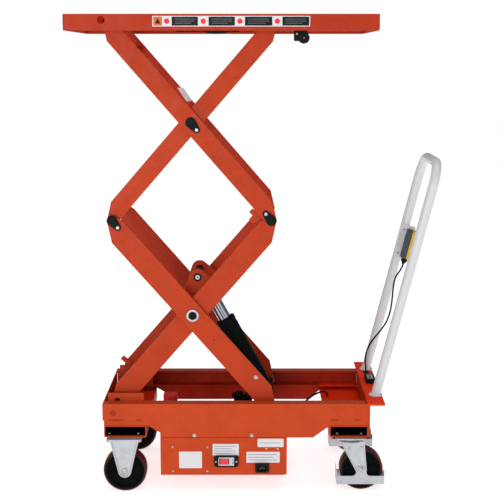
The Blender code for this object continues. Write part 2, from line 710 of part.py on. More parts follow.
def make_wheel(end, side, x, y):
    """A black core and a moulded tread, which spin together on the axle."""
    label = f"{end}_{side_label(side)}"
    rim = WHEEL_RADIUS - TREAD_DEPTH
    half = WHEEL_WIDTH / 2
    centre = (x, side * y, WHEEL_RADIUS)
    core_profile = [
        (AXLE_RADIUS + HOLE_CLEARANCE, -half + 0.0005), (0.020, -half + 0.0005), (0.024, -half + 0.008),
        (rim - 0.010, -half + 0.008), (rim - 0.007, -half + 0.002), (rim - GAP, -half + 0.002),
        (rim - GAP, half - 0.002), (rim - 0.007, half - 0.002), (rim - 0.010, half - 0.008),
        (0.024, half - 0.008), (0.020, half - 0.0005), (AXLE_RADIUS + HOLE_CLEARANCE, half - 0.0005),
    ]
    core = lathe(f"wheel_core_{label}", core_profile, centre, (0, 1, 0), 20)
    finish(core, "black_plastic", centre)
    tread_profile = [
        (rim, -half), (WHEEL_RADIUS - 0.003, -half), (WHEEL_RADIUS, -half + 0.004),
        (WHEEL_RADIUS, half - 0.004), (WHEEL_RADIUS - 0.003, half), (rim, half),
    ]
    tread = lathe(f"wheel_tread_{label}", tread_profile, centre, (0, 1, 0), 20)
    finish(tread, "maroon", centre)


def make_fixed_caster(side):
    """A pressed fork with its plate and riveted axle, bolted under the front beam."""
    x = FIXED_CASTER_X
    y = side * FIXED_CASTER_Y
    name = "fixed_fork_" + side_label(side)
    inner = WHEEL_WIDTH / 2 + FORK_CLEARANCE
    plate = box(name, (x - 0.060, y - 0.0425, CASTER_TOP_Z - 0.005), (x + 0.060, y + 0.0425, CASTER_TOP_Z))
    outline = fork_outline(x - 0.050, x + 0.050, CASTER_TOP_Z - 0.002, x, 0.0225)
    for cheek in (-1, 1):
        near = y + cheek * inner
        outer = y + cheek * (inner + FORK_SHEET)
        join(plate, prism(f"{name}_cheek_{cheek}", outline, min(near, outer), max(near, outer)))
    reach = inner + FORK_SHEET + 0.003
    join(plate, rod(name + "_axle", (x, y, WHEEL_RADIUS), AXLE_RADIUS, -reach, reach))
    finish(plate, "zinc")
    make_wheel("front", side, x, FIXED_CASTER_Y)


def make_swivel_caster(side):
    """A top plate with its race, and the offset fork that turns under it and guards the wheel."""
    label = side_label(side)
    axis_x = SWIVEL_X
    wheel_x = SWIVEL_X + SWIVEL_TRAIL
    y = side * SWIVEL_CASTER_Y
    plate = box(
        "swivel_plate_" + label,
        (axis_x - 0.052, y - 0.0475, CASTER_TOP_Z - 0.005), (axis_x + 0.052, y + 0.0475, CASTER_TOP_Z),
    )
    race = [(0, 0), (0.038, 0), (0.041, 0.004), (0.041, 0.010), (0, 0.010)]
    join(plate, lathe(f"swivel_race_{label}", race, (axis_x, y, CASTER_TOP_Z - 0.0135), (0, 0, 1), 20))
    finish(plate, "zinc")
    fork_top = CASTER_TOP_Z - 0.0138
    crown_bottom = fork_top - 0.0060
    inner = WHEEL_WIDTH / 2 + FORK_CLEARANCE
    name = "swivel_fork_" + label
    crown = prism(name, circle_points((axis_x, y), 0.045, 20), crown_bottom, fork_top, "Z")
    bridge_low = (axis_x - 0.033, y - inner - FORK_SHEET, crown_bottom)
    bridge_high = (axis_x + 0.048, y + inner + FORK_SHEET, fork_top - 0.001)
    join(crown, box(name + "_bridge", bridge_low, bridge_high))
    outline = convex_outline(
        [(axis_x - 0.034, fork_top - 0.001), (axis_x + 0.049, fork_top - 0.001)]
        + circle_points((wheel_x, WHEEL_RADIUS), 0.0195, 16)
    )
    guard_top = 0.0535
    guard_bottom = 0.0235
    guard_low_x = wheel_x - 0.085
    guard_high_x = wheel_x + 0.080
    stem = convex_outline(
        [(wheel_x - 0.028, guard_top - 0.002), (wheel_x + 0.028, guard_top - 0.002)]
        + circle_points((wheel_x, WHEEL_RADIUS), 0.0175, 16)
    )
    for cheek in (-1, 1):
        near = y + cheek * inner
        outer = y + cheek * (inner + FORK_SHEET)
        span = (min(near, outer), max(near, outer))
        join(crown, prism(f"{name}_cheek_{cheek}", outline, *span))
        join(crown, prism(f"{name}_stem_{cheek}", stem, *span))
        strip_low = (guard_low_x, span[0], guard_bottom)
        join(crown, box(f"{name}_strip_{cheek}", strip_low, (guard_high_x, span[1], guard_top)))
    for index, end_x in enumerate((guard_low_x, guard_high_x - 0.003)):
        reach = inner + FORK_SHEET
        end_low = (end_x, y - reach, guard_bottom)
        join(crown, box(f"{name}_end_{index}", end_low, (end_x + 0.003, y + reach, guard_top)))
    cut(crown, rod(name + "_bore", (wheel_x, y, WHEEL_RADIUS), AXLE_RADIUS + HOLE_CLEARANCE, -0.06, 0.06))
    finish(crown, "zinc", (axis_x, y, fork_top))
    reach = inner + FORK_SHEET + GAP
    head = 0.0125
    profile = [
        (0, -reach - 0.005), (head, -reach - 0.005), (head, -reach), (AXLE_RADIUS, -reach),
        (AXLE_RADIUS, reach), (head, reach), (head, reach + 0.005), (0, reach + 0.005),
    ]
    axle = lathe("caster_axle_" + label, profile, (wheel_x, y, WHEEL_RADIUS), (0, 1, 0), 16)
    finish(axle, "zinc", (wheel_x, y, WHEEL_RADIUS))
    make_wheel("rear", side, wheel_x, SWIVEL_CASTER_Y)


# Scissor linkage


def cylinder_points():
    """The lower and upper pivots of the cylinder."""
    low = along_arm(MID_FRONT, BASE_REAR, ARM_LENGTH / 2 + CYLINDER_BASE_ALONG, 0)
    high = along_arm(BASE_FRONT, MID_REAR, ARM_LENGTH / 2 + CYLINDER_TOP_ALONG, CYLINDER_TOP_OFFSET)
    return low, high


def on_lower_inner(along, offset):
    """A point measured along the lower inner arm from its centre pivot, and offset to its left."""
    return along_arm(BASE_FRONT, MID_REAR, ARM_LENGTH / 2 + along, offset)


def add_gussets(frame, top_pivot):
    """The two plates that hold the cylinder's top shaft, each on the tie tube and on a stub from its arm."""
    feet = [on_lower_inner(along, offset) for along, offset in GUSSET_FEET]
    outline = convex_outline(circle_points(top_pivot, GUSSET_RADIUS, 14) + feet)
    stub = on_lower_inner(STUB_ALONG, 0.0)
    middle = (GUSSET_Y[0] + GUSSET_Y[1]) / 2
    for side in (-1, 1):
        low, high = sorted((side * GUSSET_Y[0], side * GUSSET_Y[1]))
        join(frame, prism(f"cylinder_gusset_{side}", outline, low, high))
        low, high = sorted((side * middle, side * (INNER_ARM_Y[0] + 0.005)))
        join(frame, rod(f"gusset_stub_{side}", (stub[0], 0, stub[1]), TIE_TUBE_RADIUS, low, high))
        bore_centre = (top_pivot[0], side * middle, top_pivot[1])
        cut(frame, rod(f"gusset_bore_{side}", bore_centre, SHAFT_RADIUS + HOLE_CLEARANCE, -0.012, 0.012))


def make_linkage():
    bore = SHAFT_RADIUS + HOLE_CLEARANCE
    cylinder_low, cylinder_high = cylinder_points()
    front_tube = along_arm(BASE_FRONT, MID_REAR, 0.105, -0.010)
    rear_tube = along_arm(BASE_FRONT, MID_REAR, ARM_LENGTH - 0.0385, -0.004)
    tie_tube = on_lower_inner(TIE_TUBE_ALONG, 0.0)
    lower_inner = scissor_frame(
        "lower_inner_frame", BASE_FRONT, MID_REAR, LOWER_HALF_WIDTH, LOWER_CUT, -ARM_SKEW, INNER_ARM_Y,
        [(front_tube, 0.017), (tie_tube, TIE_TUBE_RADIUS), (rear_tube, 0.014)],
        [(BASE_FRONT, bore), (LOWER_CENTRE, bore), (MID_REAR, bore)],
    )
    add_gussets(lower_inner, cylinder_high)
    finish(lower_inner, "orange", (BASE_FRONT[0], 0, BASE_FRONT[1]))
    shaft_centre = (cylinder_high[0], 0, cylinder_high[1])
    top_shaft = rod("cylinder_top_shaft", shaft_centre, SHAFT_RADIUS, -TOP_SHAFT_HALF, TOP_SHAFT_HALF)
    finish(top_shaft, "black_metal")

    lower_outer = scissor_frame(
        "lower_outer_frame", MID_FRONT, BASE_REAR, LOWER_HALF_WIDTH, LOWER_CUT, ARM_SKEW, OUTER_ARM_Y,
        [(cylinder_low, BASE_TUBE_RADIUS)],
        [(MID_FRONT, bore), (LOWER_CENTRE, bore), (BASE_REAR, bore)],
    )
    finish(lower_outer, "orange", (LOWER_CENTRE[0], 0, LOWER_CENTRE[1]))

    upper_outer_tube = along_arm(TOP_FRONT, MID_REAR, 0.110, -0.008)
    upper_outer = scissor_frame(
        "upper_outer_frame", TOP_FRONT, MID_REAR, UPPER_HALF_WIDTH, UPPER_CUT, ARM_SKEW, OUTER_ARM_Y,
        [(upper_outer_tube, 0.0125)],
        [(TOP_FRONT, bore), (UPPER_CENTRE, bore), (MID_REAR, bore)],
    )
    finish(upper_outer, "orange", (MID_REAR[0], 0, MID_REAR[1]))

    upper_inner_tube = along_arm(MID_FRONT, TOP_REAR, ARM_LENGTH - 0.110, -0.008)
    upper_inner = scissor_frame(
        "upper_inner_frame", MID_FRONT, TOP_REAR, UPPER_HALF_WIDTH, UPPER_CUT, -ARM_SKEW, UPPER_INNER_ARM_Y,
        [(upper_inner_tube, 0.0125)],
        [(MID_FRONT, bore), (UPPER_CENTRE, bore), (TOP_REAR, THIN_SHAFT_RADIUS + HOLE_CLEARANCE)],
    )
    finish(upper_inner, "orange", (UPPER_CENTRE[0], 0, UPPER_CENTRE[1]))


def make_shafts():
    """Pivot shafts and pins, each with the arm that carries it."""
    down_arm = math.atan2(-STAGE_HEIGHT, PIVOT_SPREAD)
    face = OUTER_ARM_Y[1]
    for name, pivot, angle in (
        ("front_hinge_shaft", MID_FRONT, down_arm),
        ("rear_hinge_shaft", MID_REAR, down_arm + math.pi),
        ("upper_centre_shaft", UPPER_CENTRE, down_arm),
    ):
        finish(shaft_with_keepers(name, pivot, face, angle), "black_metal")
    for side in (-1, 1):
        profile = [
            (0, 0.1340), (SHAFT_RADIUS, 0.1340), (SHAFT_RADIUS, face + GAP), (0.0225, face + GAP),
            (0.0225, face + 0.0030), (0.0200, face + 0.0050), (0, face + 0.0050),
        ]
        centre = (LOWER_CENTRE[0], 0, LOWER_CENTRE[1])
        pin = lathe("lower_centre_pin_" + side_label(side), profile, centre, (0, side, 0))
        finish(pin, "zinc")
    flange = 0.1789
    profile = [
        (0, -flange - 0.004), (0.020, -flange - 0.004), (0.020, -flange), (SHAFT_RADIUS, -flange),
        (SHAFT_RADIUS, flange), (0.020, flange), (0.020, flange + 0.004), (0, flange + 0.004),
    ]
    finish(lathe("base_pivot_shaft", profile, (FRONT_X, 0, BASE_PIVOT_Z)), "black_metal")
    finish(rod("table_pivot_shaft", (FRONT_X, 0, TOP_PIVOT_Z), SHAFT_RADIUS, -0.1805, 0.1805), "black_metal")
    for name, centre, radius in (
        ("base_roller_shaft", BASE_REAR, SHAFT_RADIUS),
        ("table_roller_shaft", TOP_REAR, THIN_SHAFT_RADIUS),
    ):
        finish(rod(name, (centre[0], 0, centre[1]), radius, -0.2085, 0.2085), "zinc")


def make_rollers():
    for name, centre, radius, bore in (
        ("base_roller", BASE_REAR, BASE_ROLLER_RADIUS, SHAFT_RADIUS),
        ("table_roller", TOP_REAR, TABLE_ROLLER_RADIUS, THIN_SHAFT_RADIUS),
    ):
        for side in (-1, 1):
            low, high = sorted((side * ROLLER_Y[0], side * ROLLER_Y[1]))
            place = (centre[0], 0, centre[1])
            roller = pipe(f"{name}_{side_label(side)}", place, radius, bore + HOLE_CLEARANCE, low, high)
            finish(roller, "nylon", place)


def make_cylinder():
    """The hydraulic cylinder: its barrel on the base tube, and its rod under the top shaft."""
    low, high = cylinder_points()
    foot = Vector((low[0], 0, low[1]))
    axis = Vector((high[0] - low[0], 0, high[1] - low[1]))
    reach = axis.length
    axis.normalize()
    collar = BARREL_RADIUS + 0.0015
    profile = [
        (0, 0.0), (BARREL_RADIUS - 0.002, 0.0), (BARREL_RADIUS - 0.002, 0.034), (BARREL_RADIUS, 0.036),
        (BARREL_RADIUS, BARREL_LENGTH - 0.016), (collar, BARREL_LENGTH - 0.015),
        (collar, BARREL_LENGTH - 0.004), (BARREL_RADIUS - 0.002, BARREL_LENGTH), (0, BARREL_LENGTH),
    ]
    barrel = lathe("cylinder_barrel", profile, foot, axis, 20)
    join(barrel, rod("barrel_eye", foot, BARREL_EYE_RADIUS, -BARREL_EYE_HALF, BARREL_EYE_HALF))
    cut(barrel, rod("barrel_eye_bore", foot, BASE_TUBE_RADIUS + 0.0009, -0.05, 0.05))
    bore_end = BARREL_LENGTH + 0.02
    cut(barrel, rod("barrel_bore", foot, ROD_RADIUS + ROD_CLEARANCE, BORE_START, bore_end, axis, 20))
    finish(barrel, "black_metal", foot)
    top = reach - SHAFT_RADIUS - 0.0010
    piston_rod = rod("cylinder_rod", foot, ROD_RADIUS, top - ROD_LENGTH, top, axis, 20)
    finish(piston_rod, "chrome", foot)


# Table


def make_table():
    """A folded sheet table with the front pivot's brackets and the rear rollers' tracks welded under it."""
    half_length = TABLE_LENGTH / 2
    half_width = TABLE_WIDTH / 2
    bottom = TABLE_TOP_Z - TABLE_SKIRT
    wall = TABLE_SHEET
    low_corner = (TABLE_X - half_length, -half_width, bottom)
    table = box("table_top", low_corner, (TABLE_X + half_length, half_width, TABLE_TOP_Z))
    bm = bmesh.new()
    bm.from_mesh(table.data)
    uprights = [e for e in bm.edges if abs(e.verts[0].co.z - e.verts[1].co.z) > TABLE_SKIRT / 2]
    bmesh.ops.bevel(bm, geom=uprights, offset=0.008, segments=3, affect="EDGES", profile=0.5)
    bm.to_mesh(table.data)
    bm.free()
    inside = box(
        "table_inside",
        (TABLE_X - half_length + wall, -half_width + wall, bottom - 0.02),
        (TABLE_X + half_length - wall, half_width - wall, TABLE_TOP_Z - wall),
    )
    cut(table, inside)
    under = TABLE_TOP_Z - wall + 0.001
    for side in (-1, 1):
        low, high = sorted((side * 0.1700, side * 0.1780))
        bracket_low = (FRONT_X - 0.045, low, bottom + 0.002)
        join(table, box(f"table_bracket_{side}", bracket_low, (FRONT_X + 0.050, high, under)))
        bore_centre = (FRONT_X, side * 0.174, TOP_PIVOT_Z)
        cut(table, rod(f"bracket_bore_{side}", bore_centre, SHAFT_RADIUS + HOLE_CLEARANCE, -0.01, 0.01))
        shelf_z = TOP_PIVOT_Z - TABLE_ROLLER_RADIUS - 0.0006
        track = [
            (side * 0.1830, shelf_z - 0.004), (side * 0.2180, shelf_z - 0.004), (side * 0.2180, under),
            (side * 0.2140, under), (side * 0.2140, shelf_z), (side * 0.1830, shelf_z),
        ]
        join(table, prism(f"table_track_{side}", track, REAR_X - 0.060, TABLE_X + half_length - 0.010, "X"))
        hole_centre = (FRONT_X - 0.010, side * half_width, TOP_PIVOT_Z + 0.003)
        cut(table, rod(f"skirt_hole_{side}", hole_centre, 0.012, -0.012, 0.012))
    finish(table, "orange", (FRONT_X, 0, TOP_PIVOT_Z))
    switch = box("limit_switch", (TABLE_X + 0.232, -0.2500, 1.5300), (TABLE_X + 0.270, -0.2300, 1.6110))
    soften(switch, 0.004, 2)
    join(switch, rod("limit_switch_roller", (TABLE_X + 0.258, -0.240, 1.5400), 0.018, -0.014, 0.010))
    finish(switch, "black_plastic")


def main():
    clear_scene()
    for side in (-1, 1):
        make_side_rail(side)
        make_fixed_caster(side)
        make_swivel_caster(side)
    finish(make_front_wall(make_caster_beam("caster_beam_front", FRONT_BEAM_X)), "orange")
    finish(make_caster_beam("caster_beam_rear", REAR_BEAM_X), "orange")
    make_end_plate()
    make_handle()
    make_cable(make_pendant())
    make_gauge()
    make_power_unit()
    make_linkage()
    make_shafts()
    make_rollers()
    make_cylinder()
    make_table()


main()
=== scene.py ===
"""Looks for the scissor lift table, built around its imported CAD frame.

Metres, in the row frame: +X is towards the push handle and -Y is the side with the power cover.
"""
import json
import math

import bmesh
import bpy
from mathutils import Matrix, Vector


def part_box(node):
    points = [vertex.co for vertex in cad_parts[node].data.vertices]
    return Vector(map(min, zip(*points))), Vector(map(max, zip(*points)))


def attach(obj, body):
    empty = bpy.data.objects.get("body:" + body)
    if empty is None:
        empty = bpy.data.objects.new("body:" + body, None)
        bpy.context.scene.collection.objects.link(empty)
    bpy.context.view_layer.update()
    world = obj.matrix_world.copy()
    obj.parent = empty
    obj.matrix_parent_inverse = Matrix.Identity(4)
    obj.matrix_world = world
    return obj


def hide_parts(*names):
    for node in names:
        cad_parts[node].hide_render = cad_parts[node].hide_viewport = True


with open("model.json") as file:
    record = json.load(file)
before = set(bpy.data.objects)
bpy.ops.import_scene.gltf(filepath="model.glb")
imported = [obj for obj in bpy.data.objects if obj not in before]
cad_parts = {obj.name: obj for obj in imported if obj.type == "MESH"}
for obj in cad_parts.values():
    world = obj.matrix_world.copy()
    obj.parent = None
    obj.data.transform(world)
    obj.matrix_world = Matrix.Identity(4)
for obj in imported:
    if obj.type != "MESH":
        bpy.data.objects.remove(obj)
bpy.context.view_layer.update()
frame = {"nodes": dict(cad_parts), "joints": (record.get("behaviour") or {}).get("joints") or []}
NODES = frame["nodes"]
JOINTS = {joint["name"]: joint for joint in frame["joints"]}


def pivot(name):
    x, _, z = JOINTS[name]["pos_m"]
    return (x, z)


# Pivots and sizes of the frame
BASE_FRONT = pivot("lift")
LOWER_CENTRE = pivot("lower_centre")
MID_REAR = pivot("rear_hinge")
UPPER_CENTRE = pivot("upper_centre")
TOP_FRONT = pivot("table_pivot")
MID_FRONT = (BASE_FRONT[0], MID_REAR[1])
BASE_REAR = (MID_REAR[0], BASE_FRONT[1])
TOP_REAR = (MID_REAR[0], TOP_FRONT[1])
CYLINDER_LOW = pivot("cylinder_tilt")
ARM_LENGTH = math.dist(BASE_FRONT, MID_REAR)
TABLE_LOW, TABLE_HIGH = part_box("table_top")
TABLE_X = (TABLE_LOW.x + TABLE_HIGH.x) / 2
OUTER_FACE = 0.167
SHAFT_RADIUS = 0.0125
SIDES = ((-1, "near"), (1, "far"))

# ---------------------------------------------------------------- camera

camera_data = bpy.data.cameras.new("camera")
camera_data.lens = 78.27
camera_data.sensor_width = 36.0
camera = bpy.data.objects.new("camera", camera_data)
camera.location = (-0.0266, -3.785, 1.4766)
camera.rotation_euler = (math.radians(90 - 10.013), 0, 0)
bpy.context.scene.collection.objects.link(camera)
bpy.context.scene.camera = camera

# ---------------------------------------------------------------- materials


def node(tree, kind, **inputs):
    made = tree.nodes.new(kind)
    for key, value in inputs.items():
        made.inputs[key.replace("_", " ")].default_value = value
    return made


def mix_colour(tree, factor, a, b, blend="MIX"):
    mix = tree.nodes.new("ShaderNodeMix")
    mix.data_type = "RGBA"
    mix.blend_type = blend
    for socket, value in ((mix.inputs[0], factor), (mix.inputs[6], a), (mix.inputs[7], b)):
        if isinstance(value, bpy.types.NodeSocket):
            tree.links.new(value, socket)
        elif isinstance(value, (int, float)):
            socket.default_value = value
        else:
            socket.default_value = (*value, 1.0)
    return mix.outputs[2]


def ramp(tree, source, low, high, to_low=0.0, to_high=1.0):
    spread = tree.nodes.new("ShaderNodeMapRange")
    tree.links.new(source, spread.inputs["Value"])
    for key, value in (("From Min", low), ("From Max", high), ("To Min", to_low), ("To Max", to_high)):
        spread.inputs[key].default_value = value
    return spread.outputs["Result"]


def noise(tree, coords, scale, detail=4.0, roughness=0.55, stretch=None):
    if stretch:
        mapping = tree.nodes.new("ShaderNodeMapping")
        mapping.inputs["Scale"].default_value = stretch
        tree.links.new(coords, mapping.inputs["Vector"])
        coords = mapping.outputs["Vector"]
    made = node(tree, "ShaderNodeTexNoise", Scale=scale, Detail=detail, Roughness=roughness)
    tree.links.new(coords, made.inputs["Vector"])
    return made.outputs["Fac"]


def surface(name, base, rough, metal=0.0, vary=0.12, vary_to=None, grain=(900, 0.06), rough_vary=0.1,
        wear=None, dust=0.0, coat=0.0, stretch=None, speckle=None, edge_round=0.0006, specular=0.3):
    """A Principled material with colour drift, grain, uneven gloss and, if asked, worn edges and settled dust."""
    mat = bpy.data.materials.new(name)
    mat.use_nodes = True
    mat.diffuse_color = (*base, 1.0)
    tree = mat.node_tree
    shader = tree.nodes["Principled BSDF"]
    coords = tree.nodes.new("ShaderNodeTexCoord").outputs["Object"]
    darker = tuple(c * (1 - vary) for c in base) if vary_to is None else vary_to
    drift = ramp(tree, noise(tree, coords, 9.0, 5.0, 0.6), 0.35, 0.68)
    colour = mix_colour(tree, drift, base, darker)
    mottle = ramp(tree, noise(tree, coords, 85.0, 3.0), 0.4, 0.75, 0.0, 0.45)
    colour = mix_colour(tree, mottle, colour, tuple(min(1.0, c * (1 + vary * 0.8)) for c in base))
    if speckle:
        cells = node(tree, "ShaderNodeTexVoronoi", Scale=speckle[0])
        tree.links.new(coords, cells.inputs["Vector"])
        amount = ramp(tree, cells.outputs["Color"], 0.2, 0.9, 0.0, speckle[1])
        colour = mix_colour(tree, amount, colour, speckle[2])
    geometry = tree.nodes.new("ShaderNodeNewGeometry")
    if dust:
        axes = tree.nodes.new("ShaderNodeSeparateXYZ")
        tree.links.new(geometry.outputs["Normal"], axes.inputs[0])
        up = ramp(tree, axes.outputs["Z"], 0.55, 1.0, 0.0, dust)
        colour = mix_colour(tree, up, colour, (0.62, 0.58, 0.54))
    if wear:
        bevel = tree.nodes.new("ShaderNodeBevel")
        bevel.samples = 4
        bevel.inputs["Radius"].default_value = 0.0028
        dot = tree.nodes.new("ShaderNodeVectorMath")
        dot.operation = "DOT_PRODUCT"
        tree.links.new(bevel.outputs["Normal"], dot.inputs[0])
        tree.links.new(geometry.outputs["Normal"], dot.inputs[1])
        edge = ramp(tree, dot.outputs["Value"], 0.985, 0.8)
        chip = ramp(tree, noise(tree, coords, 60.0, 6.0, 0.7), 0.47, 0.62, 0.0, wear[1])
        both = tree.nodes.new("ShaderNodeMath")
        both.operation = "MULTIPLY"
        tree.links.new(edge, both.inputs[0])
        tree.links.new(chip, both.inputs[1])
        colour = mix_colour(tree, both.outputs[0], colour, wear[0])
    tree.links.new(colour, shader.inputs["Base Color"])
    uneven = noise(tree, coords, 26.0, 4.0, 0.6, stretch)
    tree.links.new(
        ramp(tree, uneven, 0.3, 0.7, max(0.03, rough - rough_vary), rough + rough_vary),
        shader.inputs["Roughness"])
    shader.inputs["Metallic"].default_value = metal
    shader.inputs["Specular IOR Level"].default_value = specular
    shader.inputs["Coat Weight"].default_value = coat
    shader.inputs["Coat Roughness"].default_value = 0.15
    bump = tree.nodes.new("ShaderNodeBump")
    bump.inputs["Strength"].default_value = grain[1]
    bump.inputs["Distance"].default_value = 0.001
    tree.links.new(noise(tree, coords, grain[0], 2.0, 0.5, stretch), bump.inputs["Height"])
    if edge_round:
        rounding = tree.nodes.new("ShaderNodeBevel")
        rounding.samples = 4
        rounding.inputs["Radius"].default_value = edge_round
        tree.links.new(rounding.outputs["Normal"], bump.inputs["Normal"])
    tree.links.new(bump.outputs["Normal"], shader.inputs["Normal"])
    return mat


ORANGE = surface("orange_paint", (0.515, 0.049, 0.003), 0.5, vary=0.13, grain=(420, 0.1),
    dust=0.02, specular=0.2, wear=((0.62, 0.13, 0.05), 0.55))
ARM_ORANGE = surface("arm_paint", (0.47, 0.037, 0.002), 0.5, vary=0.16, grain=(420, 0.1),
    dust=0.02, specular=0.2, wear=((0.6, 0.1, 0.03), 0.6))
# Orange with painted light: a brighter copy of the orange for the end plate's top, the decks and the rail faces
# beside the rear deck, where light falls.
LIT_ORANGE = surface("painted_light_orange", (0.9, 0.04, 0.004), 0.5, vary=0.08,
    grain=(420, 0.08), specular=0.06, wear=((0.7, 0.16, 0.07), 0.45))
TABLE_PAINT = surface("table_paint", (0.42, 0.03, 0.003), 0.5, vary=0.13, grain=(420, 0.1),
    dust=0.02, specular=0.2, wear=((0.62, 0.13, 0.05), 0.55))
# Orange with painted shade: a darker copy of the orange for faces inside the channels and skirts, under the table
# and behind the power cover.
SHADED_ORANGE = surface("painted_shade_orange", (0.47, 0.026, 0.005), 0.55, vary=0.32,
    grain=(300, 0.12), specular=0.15)
# Arm orange with painted shade: a darker copy of the arm orange for the arms' inward faces.
SHADED_ARM_ORANGE = surface("arm_paint_with_painted_shade", (0.45, 0.031, 0.004), 0.52, vary=0.2,
    grain=(420, 0.1), specular=0.2)
WHITE = surface("handle_paint", (0.61, 0.61, 0.63), 0.34, vary=0.05,
    vary_to=(0.6, 0.6, 0.62), grain=(380, 0.06), coat=0.2, wear=((0.4, 0.39, 0.39), 0.35))
ZINC = surface("zinc_plate", (0.5, 0.53, 0.56), 0.4, metal=0.55, vary=0.14,
    vary_to=(0.36, 0.39, 0.41), grain=(700, 0.12), rough_vary=0.13, speckle=(160.0, 0.35, (0.56, 0.57, 0.58)))
BRIGHT_ZINC = surface("bright_zinc", (0.46, 0.45, 0.45), 0.34, metal=0.75, vary=0.15,
    grain=(900, 0.08))
CHROME = surface("chrome_rod", (0.4, 0.44, 0.5), 0.12, metal=1.0, vary=0.05,
    grain=(1500, 0.02), rough_vary=0.04, stretch=(1, 1, 12))
BLACK_STEEL = surface("black_steel", (0.005, 0.006, 0.006), 0.52, vary=0.2,
    grain=(500, 0.15), specular=0.1, wear=((0.05, 0.05, 0.05), 0.5))
BARREL_BLACK = surface("barrel_paint", (0.003, 0.005, 0.005), 0.55, vary=0.2,
    grain=(260, 0.1), specular=0.06, wear=((0.03, 0.03, 0.03), 0.4))
BLACK_PLASTIC = surface("black_plastic", (0.005, 0.006, 0.006), 0.55, vary=0.15,
    grain=(1600, 0.22), specular=0.12)
RUBBER = surface("rubber", (0.006, 0.006, 0.007), 0.74, vary=0.25, grain=(900, 0.3),
    specular=0.15)
SLATE = surface("slate_plastic", (0.036, 0.058, 0.068), 0.5, vary=0.12, grain=(1500, 0.22))
YELLOW = surface("yellow_plastic", (0.64, 0.36, 0.008), 0.46, vary=0.1, grain=(1500, 0.18))
RED = surface("red_plastic", (0.75, 0.03, 0.055), 0.3, vary=0.08, grain=(1200, 0.08),
    coat=0.2)
RED_CAP = surface("red_cap", (0.85, 0.028, 0.03), 0.45, vary=0.2, grain=(900, 0.15))
WHEEL_BLACK = surface("wheel_core", (0.003, 0.004, 0.004), 0.65, vary=0.25,
    grain=(500, 0.2), specular=0.04)
MAROON = surface("wheel_tread", (0.085, 0.006, 0.008), 0.46, vary=0.35,
    vary_to=(0.018, 0.003, 0.004), grain=(350, 0.25), specular=0.22)
NYLON = surface("nylon", (0.045, 0.042, 0.04), 0.5, vary=0.08, grain=(500, 0.15))
LABEL = surface("label_film", (0.66, 0.66, 0.68), 0.42, vary=0.05, grain=(300, 0.03),
    edge_round=0.0)
LABEL_INK = surface("label_ink", (0.2, 0.21, 0.23), 0.45, vary=0.2, grain=(800, 0.03),
    edge_round=0.0)
DECAL_BLACK = surface("decal_black", (0.005, 0.005, 0.006), 0.5, vary=0.15,
    grain=(300, 0.03), edge_round=0.0, specular=0.2)
DECAL_ORANGE = surface("decal_orange", (0.62, 0.12, 0.02), 0.4, vary=0.1, grain=(300, 0.03),
    edge_round=0.0)
DISPLAY = surface("display_window", (0.3, 0.34, 0.33), 0.12, vary=0.1, grain=(200, 0.01),
    coat=0.8)
# Near-black painted shade for the insides of the beam tubes, the rail slots, the access holes and the arms' drain
# holes.
SHADOW_STEEL = surface("painted_shade_black", (0.005, 0.005, 0.005), 0.75, vary=0.35,
    grain=(260, 0.3), specular=0.1)
BRASS = surface("brass", (0.35, 0.24, 0.08), 0.4, metal=0.9, vary=0.12, grain=(700, 0.08))

# ---------------------------------------------------------------- mesh tools


def link_mesh(name, bm):
    bmesh.ops.recalc_face_normals(bm, faces=bm.faces)
    mesh = bpy.data.meshes.new(name)
    bm.to_mesh(mesh)
    bm.free()
    obj = bpy.data.objects.new(name, mesh)
    bpy.context.scene.collection.objects.link(obj)
    return obj


def box(name, low, high):
    bm = bmesh.new()
    bmesh.ops.create_cube(bm, size=1.0)
    bmesh.ops.scale(bm, vec=[b - a for a, b in zip(low, high)], verts=bm.verts)
    bmesh.ops.translate(bm, vec=[(a + b) / 2 for a, b in zip(low, high)], verts=bm.verts)
    return link_mesh(name, bm)


def prism(name, outline, start, end, axis="Y"):
    """Extrude a closed outline: (x, z) along Y, (y, z) along X or (x, y) along Z."""
    place = {"Y": lambda u, v, w: (u, w, v), "X": lambda u, v, w: (w, u, v), "Z": lambda u, v,
        w: (u, v, w)}[axis]
    bm = bmesh.new()
    face = bm.faces.new([bm.verts.new(place(u, v, start)) for u, v in outline])
    grown = bmesh.ops.extrude_face_region(bm, geom=[face])
    moved = [v for v in grown["geom"] if isinstance(v, bmesh.types.BMVert)]
    bmesh.ops.translate(bm, vec=place(0, 0, end - start), verts=moved)
    return link_mesh(name, bm)


def frame_for(axis):
    return Vector((0, 0, 1)).rotation_difference(Vector(axis)).to_matrix().to_4x4()


def lathe(name, profile, centre, axis=(0, 1, 0), segments=48):
    """Turn a profile of (radius, height) points about an axis. It closes on the axis or on itself."""
    bm = bmesh.new()
    rings = []
    for radius, height in profile:
        count = segments if radius > 0 else 1
        angles = [2 * math.pi * step / segments for step in range(count)]
        rings.append([bm.verts.new((radius * math.cos(t), radius * math.sin(t), height)) for t in angles])
    pairs = list(zip(rings, rings[1:]))
    if profile[0][0] > 0:
        pairs.append((rings[-1], rings[0]))
    for low, high in pairs:
        for step in range(segments):
            following = (step + 1) % segments
            corners = [low[step % len(low)], low[following % len(low)], high[following % len(high)],
                high[step % len(high)]]
            bm.faces.new(list(dict.fromkeys(corners)))
    bm.transform(Matrix.Translation(Vector(centre)) @ frame_for(axis))
    return link_mesh(name, bm)


def rod(name, centre, radius, low, high, axis=(0, 1, 0), segments=48, chamfer=0.0):
    if chamfer:
        profile = [(0, low), (radius - chamfer, low), (radius, low + chamfer), (radius, high - chamfer),
                   (radius - chamfer, high), (0, high)]
    else:
        profile = [(0, low), (radius, low), (radius, high), (0, high)]
    return lathe(name, profile, centre, axis, segments)


